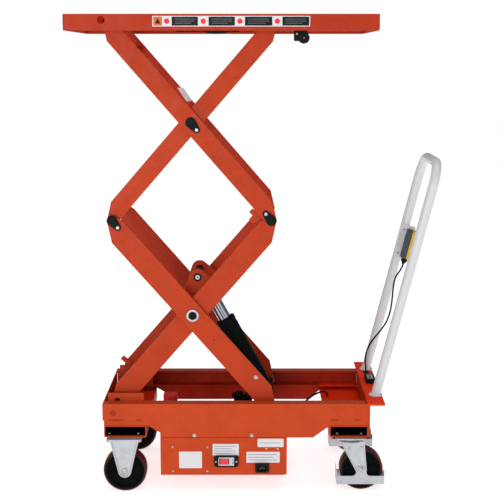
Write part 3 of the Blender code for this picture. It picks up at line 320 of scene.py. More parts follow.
def convex_outline(points):
    ordered = sorted(set((round(x, 7), round(y, 7)) for x, y in points))

    def half(sequence):
        chain = []
        for p in sequence:
            while len(chain) > 1 and turn(chain[-2], chain[-1], p) <= 1e-9:
                chain.pop()
            chain.append(p)
        return chain[:-1]

    return half(ordered) + half(ordered[::-1])


def turn(a, b, c):
    return (b[0] - a[0]) * (c[1] - a[1]) - (b[1] - a[1]) * (c[0] - a[0])


def at(point, y=0.0):
    """A point (x, z) of the side view, at depth y."""
    return (point[0], y, point[1])


def between(side, a, b):
    """The y range from a to b on one side of the middle plane."""
    return sorted((side * a, side * b))


def circle_points(centre, radius, count=48):
    steps = [2 * math.pi * i / count for i in range(count)]
    return [(centre[0] + radius * math.cos(t), centre[1] + radius * math.sin(t)) for t in steps]


def rounded(low_u, low_v, high_u, high_v, radius, count=6):
    """A rectangle's outline with round corners."""
    points = []
    corners = ((high_u - radius, high_v - radius, 0), (low_u + radius, high_v - radius, 90),
               (low_u + radius, low_v + radius, 180), (high_u - radius, low_v + radius, 270))
    for u, v, first in corners:
        for step in range(count + 1):
            angle = math.radians(first + 90 * step / count)
            points.append((u + radius * math.cos(angle), v + radius * math.sin(angle)))
    return points


def inset(low, high, margin, radius, count=6):
    """The side view outline of a box, moved inwards by one margin or by (margin_x, margin_z)."""
    x, z = margin if isinstance(margin, tuple) else (margin, margin)
    return rounded(low.x + x, low.z + z, high.x - x, high.z - z, radius, count)


def mirrored(half):
    """A profile of (radius, height) points followed by its mirror image across height 0."""
    return half + [(radius, -height) for radius, height in reversed(half)]


def sweep(name, points, radius, sides=24, ends=True):
    """A round tube along a list of points, with a frame carried along without twist. radius may be a list."""
    points = [Vector(p) for p in points]
    radii = radius if isinstance(radius, (list, tuple)) else [radius] * len(points)
    bm = bmesh.new()
    rings = []
    normal = None
    for index, place in enumerate(points):
        tangent = (points[min(index + 1, len(points) - 1)] - points[max(index - 1, 0)]).normalized()
        if normal is None:
            normal = tangent.orthogonal().normalized()
        normal = (normal - tangent * normal.dot(tangent)).normalized()
        other = tangent.cross(normal)
        ring = []
        for step in range(sides):
            angle = 2 * math.pi * step / sides
            ring.append(
                bm.verts.new(place + (normal * math.cos(angle) + other * math.sin(angle)) * radii[index]))
        rings.append(ring)
    for first, second in zip(rings, rings[1:]):
        for step in range(sides):
            following = (step + 1) % sides
            bm.faces.new((first[step], first[following], second[following], second[step]))
    if ends:
        bm.faces.new(rings[0])
        bm.faces.new(rings[-1])
    return link_mesh(name, bm)


def combine(target, operation, tools):
    """Join or cut with Booleans, keep the result as the target's mesh and delete the tools."""
    for tool in tools:
        modifier = target.modifiers.new(tool.name, "BOOLEAN")
        modifier.operation = operation
        modifier.solver = "EXACT"
        modifier.object = tool
    bpy.context.view_layer.update()
    evaluated = target.evaluated_get(bpy.context.evaluated_depsgraph_get())
    result = bpy.data.meshes.new_from_object(evaluated)
    target.modifiers.clear()
    old = target.data
    target.data = result
    bpy.data.meshes.remove(old)
    for tool in tools:
        mesh = tool.data
        bpy.data.objects.remove(tool)
        bpy.data.meshes.remove(mesh)
    return target


def join(target, *tools):
    return combine(target, "UNION", tools)


def cut(target, *tools):
    return combine(target, "DIFFERENCE", tools)


def group(name, parts):
    """Several closed shells in one mesh, such as a row of bolts."""
    bm = bmesh.new()
    for part in parts:
        bm.from_mesh(part.data)
        mesh = part.data
        bpy.data.objects.remove(part)
        bpy.data.meshes.remove(mesh)
    mesh = bpy.data.meshes.new(name)
    bm.to_mesh(mesh)
    bm.free()
    obj = bpy.data.objects.new(name, mesh)
    bpy.context.scene.collection.objects.link(obj)
    return obj


def dress(obj, mat, *nodes, body="chassis", slot=None, bevel=0.0, segments=2, sharp=35):
    """Finish a piece: paint, edge rounding, shading, its body and the CAD nodes it stands for. The slot argument
    is not used.
    """
    obj.data.materials.clear()
    obj.data.materials.append(mat)
    obj.data.shade_smooth()
    if bevel:
        modifier = obj.modifiers.new("edge", "BEVEL")
        modifier.width = bevel
        modifier.segments = segments
        modifier.limit_method = "ANGLE"
        modifier.angle_limit = math.radians(sharp)
        modifier.harden_normals = True
    else:
        obj.data.set_sharp_from_angle(angle=math.radians(sharp))
    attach(obj, body)
    if nodes:
        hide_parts(*nodes)
    return obj


def fasteners(name, parts, body="chassis"):
    dress(group(name, parts), BRIGHT_ZINC, body=body, bevel=0.0003, sharp=50)


def screws(name, parts, body="chassis"):
    dress(group(name, parts), BRIGHT_ZINC, body=body, sharp=50)


def line_faces(obj, mat, test):
    """Give a second paint to the faces that pass a test of their normal and centre."""
    obj.data.materials.append(mat)
    for face in obj.data.polygons:
        if test(face.normal, face.center):
            face.material_index = len(obj.data.materials) - 1


def split(obj, x):
    bm = bmesh.new()
    bm.from_mesh(obj.data)
    bmesh.ops.bisect_plane(bm, geom=bm.verts[:] + bm.edges[:] + bm.faces[:], plane_co=(x, 0, 0),
        plane_no=(1, 0, 0))
    bm.to_mesh(obj.data)
    bm.free()


def repaint(node_name, mat):
    obj = NODES[node_name]
    obj.data.materials.clear()
    obj.data.materials.append(mat)


# ---------------------------------------------------------------- fasteners


def hex_bolt(name, centre, outward, across=0.013, height=0.005, washer=0.0085, tip=0.0):
    """A washer and a chamfered hexagon head, with a short thread end if tip is given."""
    out = Vector(outward).normalized()
    centre = Vector(centre)
    head = lathe(name, [(0, 0.0012), (across / 2 * 1.1547, 0.0012), (across / 2 * 1.1547, height - 0.001),
                        (across / 2 * 1.02, height), (0, height)], centre, out, 6)
    parts = [head, rod(name + "_washer", centre, washer, 0.0, 0.0012, out, 32, 0.0003)]
    if tip:
        parts.append(rod(name + "_tip", centre, across * 0.3, height - 0.001, height + tip, out, 20, 0.0008))
    return group(name, parts)


def pan_screw(name, centre, outward, radius=0.0042, height=0.0022):
    """A domed head with a cross recess."""
    dome = lathe(name, [(0, 0), (radius, 0), (radius, height * 0.35), (radius * 0.86, height * 0.72),
                        (radius * 0.5, height * 0.95), (0, height)], centre, outward, 24)
    out = Vector(outward).normalized()
    side = out.orthogonal().normalized()
    slots = []
    for index, direction in enumerate((side, out.cross(side))):
        slot_box = box(f"{name}_slot_{index}", (-radius * 0.62, -radius * 0.11, -height * 0.45),
            (radius * 0.62, radius * 0.11, height * 0.6))
        turned = Matrix((direction, out.cross(direction), out)).transposed().to_4x4()
        slot_box.data.transform(Matrix.Translation(Vector(centre) + out * height) @ turned)
        slots.append(slot_box)
    return cut(dome, *slots)


def weld(name, points, radius, closed=False, ripples=3.5):
    """A rippled bead along a path."""
    points = [Vector(p) for p in points]
    dense = []
    total = 0.0
    pairs = list(zip(points, points[1:] + ([points[0]] if closed else [])))
    for a, b in pairs if closed else pairs[: len(points) - 1]:
        steps = max(1, round((b - a).length / (radius * 0.5)))
        for step in range(steps):
            dense.append((a.lerp(b, step / steps), total + (b - a).length * step / steps))
        total += (b - a).length
    if closed:
        dense.append((points[0], total))
    else:
        dense.append((points[-1], total))
    radii = [radius * (0.86 + 0.14 * abs(math.sin(math.pi * s / (radius * ripples)))) for _, s in dense]
    return sweep(name, [p for p, _ in dense], radii, 10)


def weld_circle(name, centre, radius, plane_y, bead, count=40):
    ring = [(centre[0] + radius * math.cos(2 * math.pi * i / count), plane_y,
             centre[1] + radius * math.sin(2 * math.pi * i / count)) for i in range(count)]
    return weld(name, ring, bead, closed=True)


# ---------------------------------------------------------------- cord


def smooth_route(points, spacing):
    """Points at even spacing along a smooth curve through the given points."""
    dense = []
    for i in range(len(points) - 1):
        p0, p1, p2 = points[max(i - 1, 0)], points[i], points[i + 1]
        p3 = points[min(i + 2, len(points) - 1)]
        for step in range(20):
            t = step / 20
            dense.append(0.5 * ((2 * p1) + (p2 - p0) * t + (2 * p0 - 5 * p1 + 4 * p2 - p3) * t * t
                                + (3 * p1 - p0 - 3 * p2 + p3) * t * t * t))
    dense.append(points[-1])
    length = sum((b - a).length for a, b in zip(dense, dense[1:]))
    count = max(2, round(length / spacing))
    route = [dense[0]]
    travelled = 0.0
    for a, b in zip(dense, dense[1:]):
        step = (b - a).length
        while travelled + step >= length / count * len(route) and len(route) < count:
            route.append(a.lerp(b, (length / count * len(route) - travelled) / step))
        travelled += step
    route.append(dense[-1])
    return route, length


GAP = 0.0003
HANDLE_FOOT_X = TABLE_X + 0.5275
END_PLATE_TOP_Z = 0.326
HANDLE_RADIUS = 0.0165
HANDLE_TOP = (1.246 / 2 - HANDLE_RADIUS, 1.128)
PENDANT_Y = 0.112
PENDANT_HALF = (0.015, 0.025, 0.053)
PENDANT_AHEAD = 0.0205
GROMMET = (TABLE_X + 0.5215, 0.114)
POST = Vector((HANDLE_TOP[0] - HANDLE_FOOT_X, 0, HANDLE_TOP[1] - END_PLATE_TOP_Z))
POST_LENGTH = POST.length
POST.normalize()
PENDANT_FRAME = (Matrix.Translation(Vector((HANDLE_FOOT_X, PENDANT_Y, END_PLATE_TOP_Z))
                                    + POST * ((0.815 - END_PLATE_TOP_Z) / POST.z))
                 @ Matrix.Rotation(math.atan2(POST.x, POST.z), 4, "Y"))
TURN_ONLY = PENDANT_FRAME.to_3x3()

relief_top = PENDANT_FRAME @ Vector((PENDANT_AHEAD, 0, -PENDANT_HALF[2] - GAP))
down = -(TURN_ONLY @ Vector((0, 0, 1)))
cable_start = relief_top + down * (0.022 + GAP)
cable_end = Vector((*GROMMET, END_PLATE_TOP_Z + 0.0052 + 2 * GAP))
CABLE_OFFSETS = [
    (0.6462, 0.726), (0.6395, 0.713), (0.6305, 0.7), (0.623, 0.685), (0.6182, 0.665), (0.6155, 0.64),
    (0.612, 0.595), (0.608, 0.565), (0.601, 0.538), (0.59, 0.513), (0.5745, 0.489),
    (0.557, 0.467), (0.5405, 0.445), (0.528, 0.421), (0.5205, 0.395), (0.5185, 0.37), (0.521, 0.345),
]
cable_points = [cable_start]
for index, (x, z) in enumerate(CABLE_OFFSETS):
    share = (index + 1) / (len(CABLE_OFFSETS) + 1)
    cable_points.append(Vector((TABLE_X + x, cable_start.y + (cable_end.y - cable_start.y) * share, z)))
cable_points.append(cable_end)
cable_route, cable_length = smooth_route(cable_points, 0.006)
cable = sweep("pendant_cable_visible", cable_route, 0.003, 20)
dress(cable, RUBBER, "pendant_cable", sharp=60)

# ---------------------------------------------------------------- table


SHEET = 0.003
UNDER_TOP = TABLE_HIGH.z - SHEET - 0.0002


def make_table():
    low, high = TABLE_LOW, TABLE_HIGH
    outer = rounded(low.x, low.y, high.x, high.y, 0.008, 8)
    inner = rounded(low.x + SHEET, low.y + SHEET, high.x - SHEET, high.y - SHEET, 0.005, 8)
    table = prism("table_sheet", outer, low.z, high.z, "Z")
    cut(table, prism("table_inside", inner, low.z - 0.02, high.z - SHEET, "Z"))
    hole = (TOP_FRONT[0] - 0.01, TOP_FRONT[1] + 0.003)
    for side, _ in SIDES:
        cut(table, rod("skirt_hole", at(hole, side * high.y), 0.012, -0.012, 0.012))
    dress(table, TABLE_PAINT, "table_top", body="table", bevel=0.0012, segments=3)
    for side, label in SIDES:
        make_table_fittings(side, label)


def make_table_fittings(side, label):
    """The bracket of the front pivot, the track of the rear roller and their weld beads."""
    x, lip = TOP_FRONT[0], TABLE_LOW.z
    plate = prism(f"table_bracket_{label}", [
        (x - 0.045, UNDER_TOP), (x - 0.045, lip + 0.014), (x - 0.033, lip + 0.002), (x + 0.036, lip + 0.002),
        (x + 0.05, lip + 0.016), (x + 0.05, UNDER_TOP)], *between(side, 0.17, 0.178))
    cut(plate, rod("bracket_bore", at(TOP_FRONT, side * 0.174), SHAFT_RADIUS + 0.0006, -0.01, 0.01))
    # The bracket, the track and their beads under the table are painted with the darker copy of the orange:
    # painted shade.
    dress(plate, SHADED_ORANGE, body="table", bevel=0.0008)
    shelf = TOP_REAR[1] - 0.0165 - 0.0006
    track = prism(f"table_track_{label}",
        [
            (side * y, z)
            for y, z in ((0.183, shelf - 0.004), (0.218, shelf - 0.004), (0.218, UNDER_TOP),
                (0.214, UNDER_TOP), (0.214, shelf), (0.183, shelf))],
        TOP_REAR[0] - 0.06, TABLE_HIGH.x - 0.01, "X")
    dress(track, SHADED_ORANGE, body="table", bevel=0.0006)
    beads = [
        weld("bead", [(end, side * y, UNDER_TOP - 0.001) for end in ends], radius)
        for ends, y, radius in (((x - 0.04, x - 0.01), 0.1698, 0.0022),
            ((x + 0.012, x + 0.044), 0.1698, 0.0022),
            ((TOP_REAR[0] - 0.05, TABLE_HIGH.x - 0.02), 0.2185, 0.002))]
    dress(group(f"table_welds_{label}", beads), SHADED_ORANGE, body="table", sharp=60)


DECAL_CELLS = (
    (-0.3343, -0.3057, DECAL_ORANGE), (-0.3057, -0.277, LABEL), (-0.2756, -0.1916, DECAL_BLACK),
    (-0.19, -0.16, LABEL), (-0.1586, -0.0742, DECAL_BLACK), (-0.0728, -0.0445, LABEL),
    (-0.0431, 0.0445, DECAL_BLACK), (0.0459, 0.0745, LABEL), (0.0759, 0.1618, DECAL_BLACK),
)


def make_decal():
    """A generic striped strip with plain bars in place of any words."""
    y = TABLE_LOW.y
    backing = prism("decal_backing", rounded(-0.337, 1.5755, 0.1645, 1.6085, 0.002), y - 0.0003, y + 0.0001)
    dress(backing, LABEL, body="table")
    groups = {}

    def add(key, paint, outline, proud=0.0006):
        groups.setdefault(key, (paint, []))[1].append(prism("decal_part", outline, y - proud, y))

    for x0, x1, paint in DECAL_CELLS:
        add(paint.name, paint, rounded(x0 + 0.0004, 1.578, x1 - 0.0004, 1.606, 0.0012, 3), 0.00045)
        middle = (x0 + x1) / 2
        if paint is DECAL_BLACK:
            for row in range(3):
                z = 1.5985 - row * 0.0065
                right = x1 - 0.01 - 0.012 * (row == 2)
                add("bars", LABEL_INK, rounded(x0 + 0.01, z - 0.0006, right, z + 0.0006, 0.0004, 2))
        elif paint is LABEL:
            add("marks", RED_CAP, circle_points((middle, 1.592), 0.0085, 24))
        else:
            triangle = [(middle - 0.009, 1.5845), (middle + 0.009, 1.5845), (middle, 1.6005)]
            add("dark_marks", DECAL_BLACK, convex_outline(triangle))
    for key, (paint, parts) in groups.items():
        dress(group(f"decal_{key}", parts), paint, body="table", slot="white_paint")


def make_limit_switch():
    low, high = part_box("limit_switch")
    axle = (high.x - 0.012, 1.54)
    screw = (low.x + 0.009, 1.553)
    body = prism("limit_switch_body", rounded(low.x, 1.53, high.x, high.z, 0.005), -0.25, -0.23)
    outline = convex_outline(circle_points(screw, 0.006, 24) + circle_points(axle, 0.004, 24))
    lever = prism("limit_switch_lever", outline, -0.2545, -0.2512)
    cut(body, rod("switch_recess", (low.x + 0.024, -0.25, 1.572), 0.009, -0.0015, 0.004))
    dress(body, BLACK_PLASTIC, "limit_switch", body="table", bevel=0.0008)
    dress(lever, BLACK_PLASTIC, body="table", bevel=0.0005)
    roller = lathe("limit_switch_wheel", mirrored([(0.003, -0.01), (0.017, -0.01), (0.018, -0.009)]),
        at(axle, -0.242))
    dress(roller, BLACK_PLASTIC, body="table")
    heads = [pan_screw("switch_screw_a", at(axle, -0.2525), (0, -1, 0), 0.004),
             pan_screw("switch_screw_b", at(screw, -0.2546), (0, -1, 0), 0.0034)]
    screws("limit_switch_screws", heads, "table")


# ---------------------------------------------------------------- arms


def along_arm(start, end, distance, offset):
    ux = (end[0] - start[0]) / ARM_LENGTH
    uz = (end[1] - start[1]) / ARM_LENGTH
    return (start[0] + ux * distance - uz * offset, start[1] + uz * distance + ux * offset)


def arm_outline(start, end, half_width, length_cut, skew):
    points = []
    outer_side = -1 if skew > 0 else 1
    for end_index in (0, 1):
        side = outer_side if end_index == 0 else -outer_side
        for from_end, offset in ((length_cut, side * half_width), (0.03, -side * half_width),
                (0.006, -side * (half_width - 0.008))):
            distance = from_end if end_index == 0 else ARM_LENGTH - from_end
            middle = skew * (distance - ARM_LENGTH / 2)
            points.append(along_arm(start, end, distance, middle + offset))
        points += circle_points(start if end_index == 0 else end, 0.0178, 48)
    return convex_outline(points)


def make_arms(name, start, end, half_width, length_cut, skew, arm_y, tubes, bores):
    """Two arms with bored pivots, and the tubes welded between them."""
    outline = arm_outline(start, end, half_width, length_cut, skew)
    for side, label in SIDES:
        arm = prism(f"{name}_arm_{label}", outline, *between(side, *arm_y))
        cut(arm,
            *[
                rod("bore", at(centre, side * arm_y[0]), radius, -0.02, 0.02, segments=40)
                for centre, radius in bores])
        dress(arm, ARM_ORANGE, *([f"{name}_frame"] if label == "near" else []), body=name, bevel=0.0011,
            segments=3)
        # The arms' inward faces take the darker copy of the arm orange: painted shade.
        line_faces(arm, SHADED_ARM_ORANGE, lambda normal, centre: normal.y * side < -0.9)
    reach = arm_y[0] + 0.001
    for index, (centre, radius) in enumerate(tubes):
        dress(rod(f"{name}_tube_{index}", at(centre), radius, -reach, reach), ARM_ORANGE, body=name)
        beads = [
            weld_circle("bead", centre, radius + 0.001, side * (arm_y[0] - 0.0012), 0.0024)
            for side, _ in SIDES]
        dress(group(f"{name}_welds_{index}", beads), ARM_ORANGE, body=name, sharp=60)


CYLINDER_TOP = along_arm(BASE_FRONT, MID_REAR, ARM_LENGTH / 2 + 0.0996, 0.0633)
GUSSET_Y = (0.0745, 0.0865)
HINGE_TEETH = ((0.01, 0.96), (-0.0187, 0.975), (-0.0296, 0.9641), (-0.018, 0.9518), (-0.0303, 0.9384),
               (-0.0202, 0.9275), (0.01, 0.925))
ARM_LABEL = ((-0.2881, 1.3719), (-0.2542, 1.3221), (-0.2344, 1.3261), (-0.2659, 1.3719))
SKEW = 0.03
INNER_ARM_Y = (0.143, 0.154)
UPPER_INNER_ARM_Y = (0.1447, 0.154)
OUTER_ARM_Y = (0.157, 0.167)
LOWER_WIDTH = (0.039, 0.058)
UPPER_WIDTH = (0.031, 0.046)
BORE = SHAFT_RADIUS + 0.0004
STUB_CENTRE = along_arm(BASE_FRONT, MID_REAR, ARM_LENGTH / 2 + 0.112, 0.0)
TIE_TUBE = along_arm(BASE_FRONT, MID_REAR, ARM_LENGTH / 2 - 0.045, 0.0)


def make_linkage():
    front_tube = along_arm(BASE_FRONT, MID_REAR, 0.105, -0.01)
    rear_tube = along_arm(BASE_FRONT, MID_REAR, ARM_LENGTH - 0.0385, -0.004)
    make_arms("lower_inner", BASE_FRONT, MID_REAR, *LOWER_WIDTH, -SKEW, INNER_ARM_Y,
              [(front_tube, 0.017), (TIE_TUBE, 0.014), (rear_tube, 0.014)],
              [(BASE_FRONT, BORE), (LOWER_CENTRE, BORE), (MID_REAR, BORE)])
    make_arms("lower_outer", MID_FRONT, BASE_REAR, *LOWER_WIDTH, SKEW, OUTER_ARM_Y,
              [(CYLINDER_LOW, 0.017)], [(MID_FRONT, BORE), (LOWER_CENTRE, BORE), (BASE_REAR, BORE)])
    make_arms("upper_outer", TOP_FRONT, MID_REAR, *UPPER_WIDTH, SKEW, OUTER_ARM_Y,
              [(along_arm(TOP_FRONT, MID_REAR, 0.11, -0.008), 0.0125)],
              [(TOP_FRONT, BORE), (UPPER_CENTRE, BORE), (MID_REAR, BORE)])
    make_arms("upper_inner", MID_FRONT, TOP_REAR, *UPPER_WIDTH, -SKEW, UPPER_INNER_ARM_Y,
              [(along_arm(MID_FRONT, TOP_REAR, ARM_LENGTH - 0.11, -0.008), 0.0125)],
              [(MID_FRONT, BORE), (UPPER_CENTRE, BORE), (TOP_REAR, 0.0099)])
    make_gussets()
    corners = [along_arm(BASE_FRONT, MID_REAR, 0.066 + along, 0.06 + offset)
               for along, offset in ((-0.0085, -0.03), (0.0085, -0.03), (0.0085, 0.0105), (-0.0085, 0.0105))]
    tab = prism("stop_tab", corners, 0.1345, 0.1429)
    dress(group("stop_tabs", [tab]), ARM_ORANGE, body="lower_inner", bevel=0.001)


def make_gussets():
    """The two plates between the lower inner arms that hold the cylinder's top pivot."""
    feet = [along_arm(BASE_FRONT, MID_REAR, ARM_LENGTH / 2 + along, offset)
            for along, offset in ((-0.06, 0.036), (-0.06, -0.018), (0.1286, -0.016))]
    outline = convex_outline(circle_points(CYLINDER_TOP, 0.029, 48) + feet)
    stubs, beads = [], []
    for side, label in SIDES:
        gusset = prism(f"gusset_{label}", outline, *between(side, *GUSSET_Y))
        cut(gusset, rod("gusset_bore", at(CYLINDER_TOP, side * 0.08), BORE, -0.012, 0.012, segments=40))
        dress(gusset, ARM_ORANGE, body="lower_inner", bevel=0.0011)
        stubs.append(
            rod("stub", at(STUB_CENTRE), 0.014, *between(side, GUSSET_Y[1] - 0.001, INNER_ARM_Y[0] + 0.001)))
        for centre, y in ((STUB_CENTRE, GUSSET_Y[1] + 0.0008), (TIE_TUBE, GUSSET_Y[1] + 0.0008),
                          (STUB_CENTRE, INNER_ARM_Y[0] - 0.0012)):
            beads.append(weld_circle("bead", centre, 0.015, side * y, 0.0024))
    dress(group("gusset_stubs", stubs), ARM_ORANGE, body="lower_inner")
    dress(group("gusset_welds", beads), ARM_ORANGE, body="lower_inner", sharp=60)


def make_small_marks():
    """The toothed edge at the rear hinge, a blank arm label and the lead that hangs under the table."""
    dress(prism("hinge_teeth", HINGE_TEETH, -0.1435, -0.137), ARM_ORANGE, body="lower_inner", bevel=0.0006)
    label = prism("arm_label", ARM_LABEL, OUTER_ARM_Y[0] - 0.0008, OUTER_ARM_Y[0] - 0.0002)
    dress(label, LABEL, body="upper_outer")
    edge = TABLE_LOW.z
    sag = [(-0.187 + 0.106 * i / 12, edge - 0.001 - 0.01 * math.sin(math.pi * i / 12)) for i in range(13)]
    dress(prism("lead_loop", sag, -0.252, -0.24), RUBBER, body="table", bevel=0.0015)
    places = [Vector((x, -0.248, edge - 0.0024)) for x in (-0.262, -0.23, -0.19, -0.15, -0.1, -0.06)]
    dress(sweep("table_lead", smooth_route(places, 0.006)[0], 0.0022, 12), RUBBER, body="table")


def keeper_shaft(name, node_name, body, centre, bolt_angle):
    """A through shaft with a teardrop keeper at each end, held by a bolt."""
    bolt = (centre[0] + 0.03 * math.cos(bolt_angle), centre[1] + 0.03 * math.sin(bolt_angle))
    outline = convex_outline(circle_points(centre, 0.018, 48) + circle_points(bolt, 0.011, 32))
    reach = OUTER_FACE + 0.0055
    dress(
        rod(name, at(centre), SHAFT_RADIUS, -reach, reach, chamfer=0.0015), BLACK_STEEL, node_name, body=body)
    bolts = []
    for side, label in SIDES:
        y = side * (OUTER_FACE + GAP)
        outside = y + side * 0.0038
        plate = prism(f"{name}_keeper_{label}", outline, *sorted((y, outside)))
        dress(plate, BLACK_STEEL, body=body, bevel=0.0009, segments=3)
        bolts.append(hex_bolt("keeper_bolt", at(bolt, outside), (0, side, 0), 0.01, 0.0048, 0.0062))
    fasteners(name + "_bolts", bolts, body)


def make_shafts():
    arm_angle = math.atan2(BASE_REAR[1] - MID_FRONT[1], BASE_REAR[0] - MID_FRONT[0])
    keeper_shaft("front_hinge", "front_hinge_shaft", "lower_outer", MID_FRONT, arm_angle)
    keeper_shaft("rear_hinge_pin", "rear_hinge_shaft", "upper_outer", MID_REAR, arm_angle + math.pi)
    keeper_shaft("upper_centre_pin", "upper_centre_shaft", "upper_outer", UPPER_CENTRE, arm_angle)
    make_centre_pins()
    make_top_shaft()
    bolts = [
        hex_bolt("arm_bolt", (-0.0062, side * OUTER_FACE, 0.391), (0, side, 0), 0.01, 0.0042, 0.0075)
        for side, _ in SIDES]
    fasteners("lower_arm_bolts", bolts, "lower_outer")
    # Near-black dots of painted shade where the arms' drain holes are.
    dots = [
        rod("arm_drain", (-0.1501, side * OUTER_FACE, 0.5244), 0.0024, -0.0002, 0.0002, segments=20)
        for side, _ in SIDES]
    dress(group("arm_drain_holes", dots), SHADOW_STEEL, body="lower_outer")
    repaint("base_pivot_shaft", BLACK_STEEL)
    repaint("table_pivot_shaft", BLACK_STEEL)
    make_rollers("base_roller", BASE_REAR, 0.0248, SHAFT_RADIUS, "lower_outer")
    make_rollers("table_roller", TOP_REAR, 0.0165, 0.0095, "upper_inner")


def make_centre_pins():
    face = OUTER_FACE
    collar = [(0, 0.134), (0.0125, 0.134), (0.0125, face + GAP), (0.0217, face + GAP),
        (0.0217, face + 0.0036), (0.0204, face + 0.0048), (0.0146, face + 0.005), (0.0141, face + 0.003),
        (0, face + 0.003)]
    socket = [(0, face + 0.0031), (0.0138, face + 0.0031), (0.0138, face + 0.0042), (0.0128, face + 0.0047),
              (0.0062, face + 0.0047), (0.0058, face + 0.0036), (0, face + 0.0036)]
    for side, label in SIDES:
        pin = lathe(f"centre_pin_{label}", collar, at(LOWER_CENTRE), (0, side, 0), 64)
        dress(pin, BRIGHT_ZINC, f"lower_centre_pin_{label}", body="lower_outer")
        cap = lathe(f"centre_pin_socket_{label}", socket, at(LOWER_CENTRE), (0, side, 0), 40)
        dress(cap, BLACK_STEEL, body="lower_outer")


def make_top_shaft():
    """The cylinder's top shaft with its turned ends and dark rings."""
    end = [(0.0025, 0.08), (0.0085, 0.08), (0.0085, 0.0875), (0.0078, 0.088), (0.0025, 0.088)]
    ring = [(0.0088, 0.084), (0.0138, 0.0851), (0.0138, 0.0877), (0.0088, 0.0877)]
    ends = [lathe("end", end, at(CYLINDER_TOP), (0, side, 0)) for side, _ in SIDES]
    rings = [lathe("ring", ring, at(CYLINDER_TOP), (0, side, 0)) for side, _ in SIDES]
    shaft = rod("shaft", at(CYLINDER_TOP), 0.0124, -0.085, 0.085)
    dress(group("cylinder_top_shaft_body", [shaft, *rings]), BLACK_STEEL, "cylinder_top_shaft",
        body="lower_inner")
    dress(group("cylinder_top_shaft_ends", ends), BRIGHT_ZINC, body="lower_inner")


def make_rollers(name, centre, radius, bore, body):
    axle = rod(name + "_axle", at(centre), bore, -0.2085, 0.2085, chamfer=0.001)
    dress(axle, BLACK_STEEL, name + "_shaft", body=body, slot="zinc_plate")
    edge = radius - 0.0016
    profile = [(bore + 0.0006, 0.184), (edge, 0.184), (radius, 0.1856), (radius, 0.2034), (edge, 0.205),
        (bore + 0.0006, 0.205)]
    for side, label in SIDES:
        wheel = lathe(f"{name}_tyre_{label}", profile, at(centre), (0, side, 0), 64)
        dress(wheel, NYLON, f"{name}_{label}", body=f"{name}_{label}_body")


def make_cylinder():
    foot = Vector(at(CYLINDER_LOW))
    axis = Vector(at(CYLINDER_TOP)) - foot
    reach = axis.length
    axis.normalize()
    r, length, rod_radius = 0.034, 0.284, 0.0225
    barrel = lathe("barrel", [
        (0, 0.0), (r - 0.004, 0.0), (r - 0.002, 0.002), (r - 0.002, 0.034), (r, 0.036), (r, length - 0.016),
        (r + 0.0013, length - 0.015), (r + 0.0015, length - 0.014), (r + 0.0015, length - 0.002),
        (r + 0.0008, length - 0.0006), (r - 0.0005, length), (rod_radius + 0.001, length),
        (rod_radius + 0.001, 0.058), (0, 0.058)], foot, axis, 80)
    join(barrel, rod("eye", foot, 0.0245, -0.036, 0.036, segments=56, chamfer=0.001))
    cut(barrel, rod("eye_bore", foot, 0.0179, -0.05, 0.05, segments=48))
    dress(barrel, BARREL_BLACK, "cylinder_barrel", body="cylinder", sharp=40)
    seal = lathe("rod_wiper",
        [(rod_radius + 0.0004, length - 0.004), (rod_radius + 0.006, length - 0.004),
            (rod_radius + 0.0056, length + 0.0012), (rod_radius + 0.0016, length + 0.0024),
            (rod_radius + 0.0004, length + 0.002)],
        foot, axis, 64)
    dress(seal, RUBBER, body="cylinder")
    bead = ((-0.0005, -0.003), (0.001, -0.0018), (0.0014, 0), (0.001, 0.0018), (-0.0005, 0.003))
    bands = [
        lathe("band", [(r + out, h + up) for out, up in bead], foot, axis, 80)
        for h in (0.043, length - 0.034)]
    dress(group("barrel_welds", bands), BARREL_BLACK, body="cylinder")
    top = reach - SHAFT_RADIUS - 0.001
    piston = lathe("piston_rod",
        [(0, top - 0.23), (rod_radius, top - 0.23), (rod_radius, top - 0.002), (rod_radius - 0.002, top),
            (0, top)],
        foot, axis, 80)
    dress(piston, CHROME, "cylinder_rod", body="piston_rod")
    eye = rod("rod_eye", at(CYLINDER_TOP), 0.0155, -0.03, 0.03, segments=56, chamfer=0.0012)
    cut(eye, rod("eye_bore", at(CYLINDER_TOP), 0.0126, -0.05, 0.05, segments=40))
    dress(eye, BLACK_STEEL, body="lower_inner", sharp=40)
    port = rod("barrel_port", foot + axis * 0.064, 0.0085, r - 0.002, r + 0.007, (0, 1, 0), 6)
    dress(port, BLACK_STEEL, body="cylinder", bevel=0.0005)


# ---------------------------------------------------------------- base


RAIL_FRONT_X = TABLE_X - 0.414
RAIL_REAR_X = TABLE_X + 0.498
RAIL_Y = 0.2175
RAIL_TOP = 0.312
RAIL_BOTTOM = 0.2525
SKIRT_LOW = 0.1912
POWER_X = (TABLE_X - 0.217, TABLE_X + 0.2185)
POWER_Z = (0.0565, 0.1909)
COVER_FACE = -0.2175
BEAM_TOP = 0.2345
BEAM_LOW = 0.193
FRONT_BEAM_X = (TABLE_X - 0.41, TABLE_X - 0.264)
REAR_BEAM_X = (TABLE_X + 0.364, TABLE_X + 0.498)


RAIL_INNER = 0.178
FLOOR_Z = 0.2575
SLOTS_X = ((-0.5099, -0.4653), (-0.4173, -0.3968), (0.2485, 0.276), (0.33, 0.352))
DECK_X = REAR_BEAM_X[0] - 0.01
ACCESS_HOLE = (-0.4844, 0.311)


